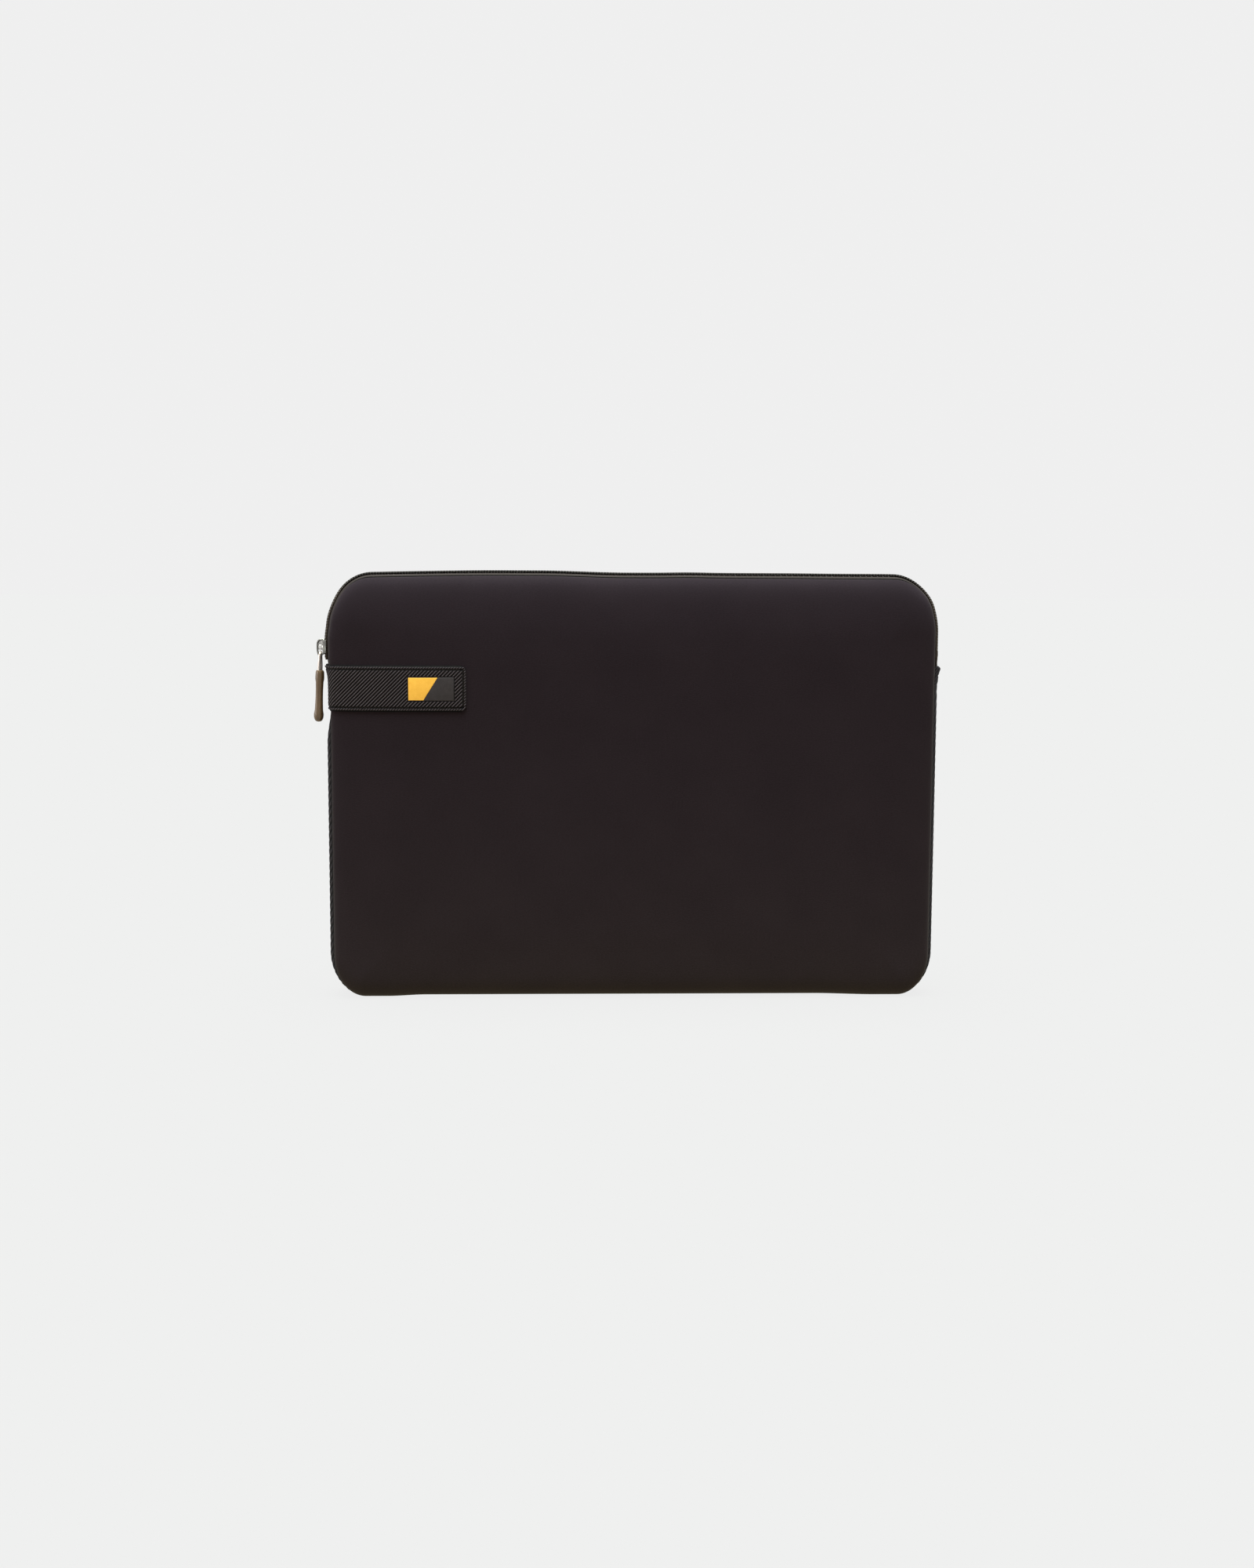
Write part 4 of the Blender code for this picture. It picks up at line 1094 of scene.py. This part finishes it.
def core(name, sign):
    """The cord that runs inside a coil."""
    length = arch_length(COIL_END_Z)
    u = np.linspace(-3 * TOOTH, length, 600)
    x, z, nx, nz = along_arch(u, 0.95, 0.95, COIL_END_Z)
    ripple = 0.05 * np.sin(TAU * u / (2 * TOOTH))
    flat = []
    for dy, dn in ((-1.55, -0.1), (-1.45, 0.30), (-0.7, 0.60), (0.0, 0.70), (0.6, 0.62), (1.1, 0.36), (1.3, -0.1), (0.7, -0.75), (-1.2, -0.75)):
        flat.append(np.stack([x + nx * (dn + ripple), np.full(len(u), sign * (1.5 + dy)), z + nz * (dn + ripple)], 1))
    verts, faces = lofted(np.stack(flat, 1))
    if volume(verts, [np.atleast_2d(f) for f in faces]) < 0:
        faces = [np.atleast_2d(f)[:, ::-1] for f in faces]
    return mesh_piece(name, verts, faces, CORE, maps={"side": lit_side_share(verts)})


def stop(name, sign):
    """The plain end of the chain at the right, below the last teeth, with the tape wrapped over it."""
    u = np.linspace(-3 * TOOTH, LAST_TOOTH + 0.6, 70)
    x, z, nx, nz = along_arch(u, 0.95, 0.95, COIL_END_Z)
    taper = 0.55 * smoothstep(u, LAST_TOOTH - 0.3, LAST_TOOTH + 0.6) - 0.04 * np.sin(u * 1.9)
    flat, uv = [], []
    for dy, dn in ((-1.5, -0.1), (-1.45, 0.46), (-0.7, 0.78), (0.0, 0.88), (0.7, 0.80), (1.25, 0.45), (1.45, -0.1), (0.8, -0.9), (-1.3, -0.9)):
        n = dn - taper * max(dn, 0.0) + 0.32 * smoothstep(u, -1.0, 5.0)
        flat.append(np.stack([x + nx * n, np.full(len(u), sign * (1.5 + dy)), z + nz * n], 1))
        uv.append(np.stack([u, np.full(len(u), 1.5 + dy + 0.5 * (dn < 0))], 1))
    verts, faces = lofted(np.stack(flat, 1))
    # the wrapped tape's lighter colour is painted light
    return mesh_piece(name, verts, faces, WRAP_LIT, np.stack(uv, 1).reshape(-1, 2))


def seam(name, sign):
    """The dark roll of the seam that joins a tape to its panel, sunk behind the panel's edge at the sides."""
    u = np.linspace(1.0, ZIP_L - 1.0, 700)
    x, z, nx, nz = along_arch(u, 4.7, 3.42, ZIP_END_Z)
    rope = 0.05 * np.sin(TAU * u / 2.6)
    verts, faces = tube(np.stack([x + nx * rope, np.full(len(u), sign * 10.95), z + nz * rope], 1), 0.50, 8)
    return mesh_piece(name, verts, faces, SEAM)


def coil_threads(name, sign):
    """The two rows of sewing that hold a coil to its tape."""
    length = arch_length(COIL_END_Z)
    starts, ends = [], []
    for row in (0.95, 1.95):
        u = np.arange(LAST_TOOTH + 0.8, length - 2.0, TOOTH)
        for at, target in ((u, starts), (u + 1.35, ends)):
            x, z, nx, nz = along_arch(at, 0.95, 0.95, COIL_END_Z)
            target.append(np.stack([x + nx * 0.86, np.full(len(u), sign * row), z + nz * 0.86], 1))
    return capsules(name, np.concatenate(starts), np.concatenate(ends), 0.16, THREAD, 6)


tape_front = tape("zipper_tape_front_woven", -1)
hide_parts("zipper_tape_front")
tape_back = tape("zipper_tape_back_woven", 1)
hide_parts("zipper_tape_back")
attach(tape_back, "sleeve")
coil_front = coil("zipper_coil_front_wound", -1, 0.0)
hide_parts("zipper_coil_front")
coil_back = coil("zipper_coil_back_wound", 1, 0.5)
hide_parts("zipper_coil_back")
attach(coil_back, "sleeve")
core_front = core("zipper_core_front", -1)
core_back = core("zipper_core_back", 1)
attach(core_back, "sleeve")
stop_front = stop("zipper_stop_front", -1)
stop_back = stop("zipper_stop_back", 1)
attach(stop_back, "sleeve")
seam_front = seam("zipper_seam_front", -1)
seam_back = seam("zipper_seam_back", 1)
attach(seam_back, "sleeve")
sewn_front = coil_threads("zipper_sewing_front", -1)
sewn_back = coil_threads("zipper_sewing_back", 1)
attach(sewn_back, "sleeve")

for piece in (front, lining_front, bind_front, tape_front, coil_front, core_front, stop_front, seam_front, sewn_front):
    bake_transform(piece)


# ---------------------------------------------------------------- slider
def at_slider(points):
    """(outward, y, up) in the slider's frame to world."""
    p = np.asarray(points, float)
    return np.stack([SLIDER_AT[0] - p[..., 0], p[..., 1], SLIDER_AT[2] + p[..., 2]], -1)


def slider_outline(grow=0.0):
    """Shield shape of a slider plate in (y, z), wide at the lower end where the two chains part."""
    half = [(2.7, 5.8), (3.35, 4.6), (3.5, 2.4), (3.7, 0.6), (4.25, -1.1), (4.7, -2.6), (4.65, -3.6), (3.9, -4.3), (1.6, -4.5)]
    half = smooth_rows(half, [4] * (len(half) - 1))
    half = half + grow * np.sign(half)
    return np.concatenate([half, (half * [-1, 1])[::-1]])


def slider_plate(n0, n1, dome):
    """A plate between two distances from the outline, with a rounded outer edge."""
    base = slider_outline()
    centre = np.array([0.0, 0.4])
    rings = []
    for share, n in ((0.93, n0), (1.0, n0 + 0.25), (1.0, n1 - 0.45), (0.965, n1 - 0.14), (0.90, n1), (0.6, n1 + dome * 0.7), (0.25, n1 + dome)):
        p = centre + (base - centre) * share
        rings.append(np.stack([np.full(len(p), n), p[:, 0], p[:, 1]], 1))
    rings = np.array(rings)
    cols = rings.shape[1]
    faces = [quads(len(rings), cols, True), np.arange(cols)[::-1][None], (np.arange(cols) + (len(rings) - 1) * cols)[None]]
    return rings.reshape(-1, 3), faces


def rounded_box_rings(n_range, y_half, z_half, zc=0.0, yc=0.0, power=5.0, count=28, edge=0.25):
    a = np.linspace(0, TAU, count, endpoint=False)
    c, s = np.cos(a), np.sin(a)
    py = y_half * np.sign(c) * np.abs(c) ** (2 / power) + yc
    pz = z_half * np.sign(s) * np.abs(s) ** (2 / power) + zc
    out = []
    for share, n in ((0.9, n_range[0]), (1.0, n_range[0] + edge), (1.0, n_range[1] - edge), (0.9, n_range[1])):
        out.append(np.stack([np.full(count, n), yc + (py - yc) * share, zc + (pz - zc) * share], 1))
    return lofted(out)


def slider_body():
    parts = [slider_plate(0.45, 1.75, 0.25)]
    v, f = slider_plate(-4.95, -3.85, 0.0)
    parts.append((v, f))
    parts.append(rounded_box_rings((-4.2, 0.8), 0.45, 1.2, zc=-2.9, count=20, edge=0.1))
    # flanges that hold the chains in
    for sign in (-1, 1):
        line = slider_outline()
        keep = line[: len(line) // 2] if sign > 0 else line[len(line) // 2 :]
        keep = keep[3:-8] if sign > 0 else keep[8:-3]
        inner = keep - np.stack([np.full(len(keep), sign * 0.75), 0 * keep[:, 0]], 1)
        outer_pts = np.concatenate([keep, inner[::-1]])
        rings = [np.stack([np.full(len(outer_pts), n), outer_pts[:, 0], outer_pts[:, 1]], 1) for n in (-0.35, -0.2, 0.7)]
        parts.append(lofted(rings))
    # the raised boss under the pull
    a = np.linspace(0, TAU, 32, endpoint=False)
    rings = []
    for q in np.linspace(0.0, 0.96, 9):
        r = math.cos(q * math.pi / 2) ** 0.8
        rings.append(np.stack([np.full(32, 1.3 + 0.75 * math.sin(q * math.pi / 2)), 2.6 * r * np.cos(a), -0.4 + 2.3 * r * np.sin(a)], 1))
    parts.append(lofted(rings))
    verts, faces = join(parts)
    # the plates in the darkest nickel copy: painted shade
    return mesh_piece("slider_plates", at_slider(verts), faces, NICKEL_SHADED, sharp=45, soft=False)


def band(path, half_w, half_t, power=4.0, count=20, widths=None):
    """A flat band of rounded section along a line in the (out, up) plane, as wide as half_w on both sides of y = 0."""
    path = np.asarray(path, float)
    t = np.gradient(path, axis=0)
    t /= np.linalg.norm(t, axis=1)[:, None]
    n = np.stack([-t[:, 1], t[:, 0]], 1)
    a = np.linspace(0, TAU, count, endpoint=False)
    sy = np.sign(np.cos(a)) * np.abs(np.cos(a)) ** (2 / power)
    sn = np.sign(np.sin(a)) * np.abs(np.sin(a)) ** (2 / power)
    rings = []
    for i in range(len(path)):
        w = half_w if widths is None else widths[i]
        p = path[i][None] + n[i][None] * (sn * half_t)[:, None]
        rings.append(np.stack([p[:, 0], w * sy, p[:, 1]], 1))
    return lofted(rings)


def cheek(outline, half_y, dome):
    """A filled plate of a closed outline in the (out, up) plane, with rounded edges and a slight dome on both sides."""
    line = np.asarray(outline, float)
    closed = np.concatenate([line, line[:1]])
    line = smooth_rows(closed, [4] * len(line))[:-1]
    centre = line.mean(0)
    rings = []
    for share, y in ((0.35, 1 + dome), (0.7, 1 + dome * 0.7), (0.9, 1.0), (0.97, 0.9), (1.0, 0.7)):
        q = centre + (line - centre) * share
        rings.append(np.stack([q[:, 0], np.full(len(q), y * half_y), q[:, 1]], 1))
    rings += [r * [1, -1, 1] for r in reversed(rings)]
    return lofted(rings)


def slider_bridge():
    """The bail: a band from the plate's top over the pull's loop and back to the plate."""
    line = [(1.0, 5.1), (2.2, 5.2), (3.6, 5.1), (4.7, 4.5), (5.35, 3.3), (5.55, 1.6), (5.55, -0.8), (5.4, -2.6), (5.0, -4.2), (4.3, -5.2), (3.3, -5.2), (2.3, -4.6), (1.5, -3.8), (0.9, -3.3)]
    line = smooth_rows(line, [5] * (len(line) - 1))
    verts, faces = band(line, 1.55, 0.52)
    # the bail band in the darkest nickel copy: painted shade
    return mesh_piece("slider_bail", at_slider(verts), faces, NICKEL_SHADED, sharp=50, soft=False)


def slider_web():
    """The web that fills the bail above the pull's loop, in a lighter nickel copy: painted light."""
    verts, faces = cheek([(1.0, 4.9), (2.4, 4.95), (3.8, 4.6), (4.6, 3.8), (5.1, 2.4), (5.15, 0.4), (5.1, -0.9), (4.6, -1.4), (3.6, -1.45), (2.6, -1.6), (2.0, -2.2), (1.85, -3.1), (1.5, -3.6), (1.0, -3.3), (0.95, -0.4), (0.95, 2.5)], 1.0, 0.06)
    return mesh_piece("slider_bail_web", at_slider(verts), faces, NICKEL_LIT, sharp=50, soft=False)


def slider_cap():
    """The bright dome on the web, the rib above it and the knob beside it, in the brightest nickel copy: a painted
    highlight.
    """
    parts = [cheek([(2.9, 1.7), (4.2, 1.9), (4.85, 1.2), (4.95, -0.1), (4.6, -0.85), (3.7, -1.05), (2.9, -0.9), (2.6, 0.2)], 1.12, 0.14)]
    parts.append(cheek([(2.45, 4.9), (2.9, 4.9), (2.95, 2.5), (2.9, 0.2), (2.5, 0.2), (2.4, 2.5)], 1.2, 0.12))
    parts.append(cheek([(0.3, 1.7), (1.3, 1.9), (2.2, 1.5), (2.5, 0.2), (2.2, -1.0), (1.2, -1.4), (0.3, -1.2), (-0.1, 0.2)], 1.9, 0.3))
    verts, faces = join(parts)
    return mesh_piece("slider_bail_cap", at_slider(verts), faces, NICKEL_HIGHLIGHT, sharp=50, soft=False)


body = slider_body()
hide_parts("slider_body")
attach(body, "slider")
bail = slider_bridge()
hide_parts("slider_bridge")
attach(bail, "slider")
web = slider_web()
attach(web, "slider")
cap = slider_cap()
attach(cap, "slider")


# ---------------------------------------------------------------- pull
def at_pull(points):
    """(x, y, z) in the pull's own frame, hanging along -Z from its pivot, to world."""
    p = np.asarray(points, float)
    c, s = math.cos(PULL_TILT), math.sin(PULL_TILT)
    x, y, z = p[..., 0], p[..., 1], p[..., 2]
    return np.stack([PIVOT_AT[0] + c * x + s * z, PIVOT_AT[1] + y, PIVOT_AT[2] - s * x + c * z], -1)


def pull_link():
    """A wire loop through the bail, a little twisted, its legs moulded into the tab."""
    reach = 2.65
    pts = [(reach, -19.0), (reach, -15.0), (reach, -10.0), (reach, -6.0), (reach, -2.65)]
    pts += [(reach * math.cos(q), -2.65 + 2.65 * math.sin(q)) for q in np.linspace(0, math.pi, 11)[1:-1]]
    pts += [(-y, z) for y, z in reversed(pts[:5])]
    line = smooth_rows(pts, [4] * (len(pts) - 1))
    lean = 0.32 * line[:, 0] / reach * smoothstep(-line[:, 1], 2.0, 10.0)
    path = np.stack([lean, line[:, 0], line[:, 1]], 1)
    verts, faces = tube(at_pull(path), 1.0, 16)
    # the wire loop in a brighter, warmer nickel copy: painted light
    return mesh_piece("pull_wire_loop", verts, faces, NICKEL_LIT_WIRE, soft=False)


def pull_tab():
    """Moulded grip: rounded sections, waisted, thicker towards its round lower end."""
    stations = np.array([
        # down from the pivot, half thickness, half width, shift outward
        (14.0, 0.9, 3.3, 0.0),
        (13.0, 1.3, 3.5, 0.0),
        (12.2, 1.65, 3.6, 0.0),
        (11.95, 2.0, 3.7, 0.0),
        (12.1, 2.35, 3.85, 0.0),
        (12.6, 2.62, 4.05, 0.0),
        (13.8, 2.85, 4.3, 0.0),
        (18.0, 2.98, 4.35, 0.0),
        (25.0, 2.80, 4.2, 0.0),
        (31.0, 2.85, 4.25, 0.0),
        (37.0, 3.08, 4.5, 0.0),
        (41.5, 3.25, 4.75, 0.0),
        (43.6, 3.05, 4.6, 0.0),
        (45.0, 2.45, 3.9, 0.0),
        (45.8, 1.6, 2.7, 0.0),
        (46.05, 0.6, 1.2, 0.0),
    ])
    rows = smooth_rows(stations, [3, 3, 3, 3, 3, 4, 5, 6, 6, 6, 5, 4, 4, 4, 3])
    count = 56
    a = np.linspace(0, TAU, count, endpoint=False)
    rings = []
    for down, t, w, shift in rows:
        power = 2.5
        px = np.sign(np.cos(a)) * np.abs(np.cos(a)) ** (2 / power)
        py = np.sign(np.sin(a)) * np.abs(np.sin(a)) ** (2 / power)
        # a shallow thumb recess on each broad face
        recess = 0.45 * float(smoothstep(down, 17.5, 20.5) * (1 - smoothstep(down, 37.5, 41.0)))
        dip = 1 - recess / max(t, 0.1) * smoothstep(np.abs(px), 0.8, 0.98) * smoothstep(1 - np.abs(py), 0.25, 0.6)
        # moulding seam along the middle of the narrow sides
        seam = 1 - 0.03 * np.exp(-((px / 0.10) ** 2)) * (t > 2.2)
        gx, gy = t * px * dip, w * py * seam
        turn = math.radians(7.0)
        rings.append(np.stack([-shift + math.cos(turn) * gx - math.sin(turn) * gy, math.sin(turn) * gx + math.cos(turn) * gy, np.full(count, -down)], 1))
    verts, faces = lofted(rings)
    return mesh_piece("pull_grip_moulded", at_pull(verts), faces, TAUPE, soft=False)


link = pull_link()
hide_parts("pull_link")
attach(link, "pull")
grip = pull_tab()
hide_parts("pull_tab")
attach(grip, "pull")


# ---------------------------------------------------------------- stage
def sun(name, energy, angle, towards, colour=(1.0, 1.0, 1.0)):
    """Soft light from a direction given as (x, y, z) from the object towards the light."""
    data = bpy.data.lights.new(name, "SUN")
    data.energy = energy
    data.color = colour
    data.angle = math.radians(angle)
    lamp = bpy.data.objects.new(name, data)
    lamp.rotation_euler = Vector(towards).to_track_quat("Z", "Y").to_euler()
    SCENE.collection.objects.link(lamp)


def stage():
    made, tree, bsdf = shader("floor_pale")
    n = Nodes(tree)
    grain = n.noise(n.object(), 40.0, 2.0)
    tree.links.new(n.ramp(grain, (0.0, (0.0082, 0.0082, 0.0082)), (1.0, (0.0088, 0.0088, 0.0088))), bsdf.inputs["Base Color"])
    bsdf.inputs["Roughness"].default_value = 0.9
    bsdf.inputs["Specular IOR Level"].default_value = 0.0
    ray = tree.nodes.new("ShaderNodeLightPath")
    place = tree.nodes.new("ShaderNodeSeparateXYZ")
    tree.links.new(n.object(), place.inputs[0])
    # for diffuse rays the floor glows with a warm pool of light, brightest near the sleeve: painted light on its lower
    # faces; the camera sees an even glow
    pool = n.ramp(n.math("MULTIPLY", n.math("ABSOLUTE", place.outputs[1]), 2.5), (0.10, (1.92, 1.92, 0.88)), (0.75, (0.89, 0.675, 0.435)))
    glow = tree.nodes.new("ShaderNodeMix")
    glow.data_type = "RGBA"
    tree.links.new(ray.outputs["Is Diffuse Ray"], glow.inputs[0])
    glow.inputs[6].default_value = (0.8215, 0.8215, 0.8215, 1.0)
    tree.links.new(pool, glow.inputs[7])
    tree.links.new(glow.outputs[2], bsdf.inputs["Emission Color"])
    bsdf.inputs["Emission Strength"].default_value = 1.0
    bm = bmesh.new()
    bmesh.ops.create_grid(bm, x_segments=8, y_segments=8, size=25.0)
    mesh = bpy.data.meshes.new("floor")
    bm.to_mesh(mesh)
    bm.free()
    mesh.materials.append(made)
    floor = bpy.data.objects.new("floor", mesh)
    floor.location = (0, 0, -0.0002)
    SCENE.collection.objects.link(floor)

    world = bpy.data.worlds.new("studio")
    world.use_nodes = True
    tree = world.node_tree
    tree.nodes.clear()
    out = tree.nodes.new("ShaderNodeOutputWorld")
    seen = tree.nodes.new("ShaderNodeBackground")
    lit = tree.nodes.new("ShaderNodeBackground")
    mix = tree.nodes.new("ShaderNodeMixShader")
    path = tree.nodes.new("ShaderNodeLightPath")
    either = tree.nodes.new("ShaderNodeMath")
    either.operation = "MAXIMUM"
    seen.inputs[0].default_value = (1, 1, 1, 1)
    seen.inputs[1].default_value = 0.8645
    lit.inputs[0].default_value = (1, 1, 1, 1)
    lit.inputs[1].default_value = 0.08
    tree.links.new(path.outputs["Is Camera Ray"], either.inputs[0])
    tree.links.new(path.outputs["Is Glossy Ray"], either.inputs[1])
    tree.links.new(either.outputs[0], mix.inputs[0])
    tree.links.new(lit.outputs[0], mix.inputs[1])
    tree.links.new(seen.outputs[0], mix.inputs[2])
    tree.links.new(mix.outputs[0], out.inputs[0])
    SCENE.world = world

    sun("top_light", 15.2, 51, (-0.02, -0.05, 1.0), (1.0, 1.12, 0.98))
    sun("left_light", 2.0, 50, (-1.0, -0.17, 0.08))
    sun("right_light", 0.72, 50, (1.0, -0.2, 0.35))
    sun("back_light", 0.42, 60, (0.25, 1.0, 0.3))
    SCENE.view_settings.view_transform = "Standard"
    SCENE.view_settings.look = "None"


stage()

bpy.context.view_layer.update()
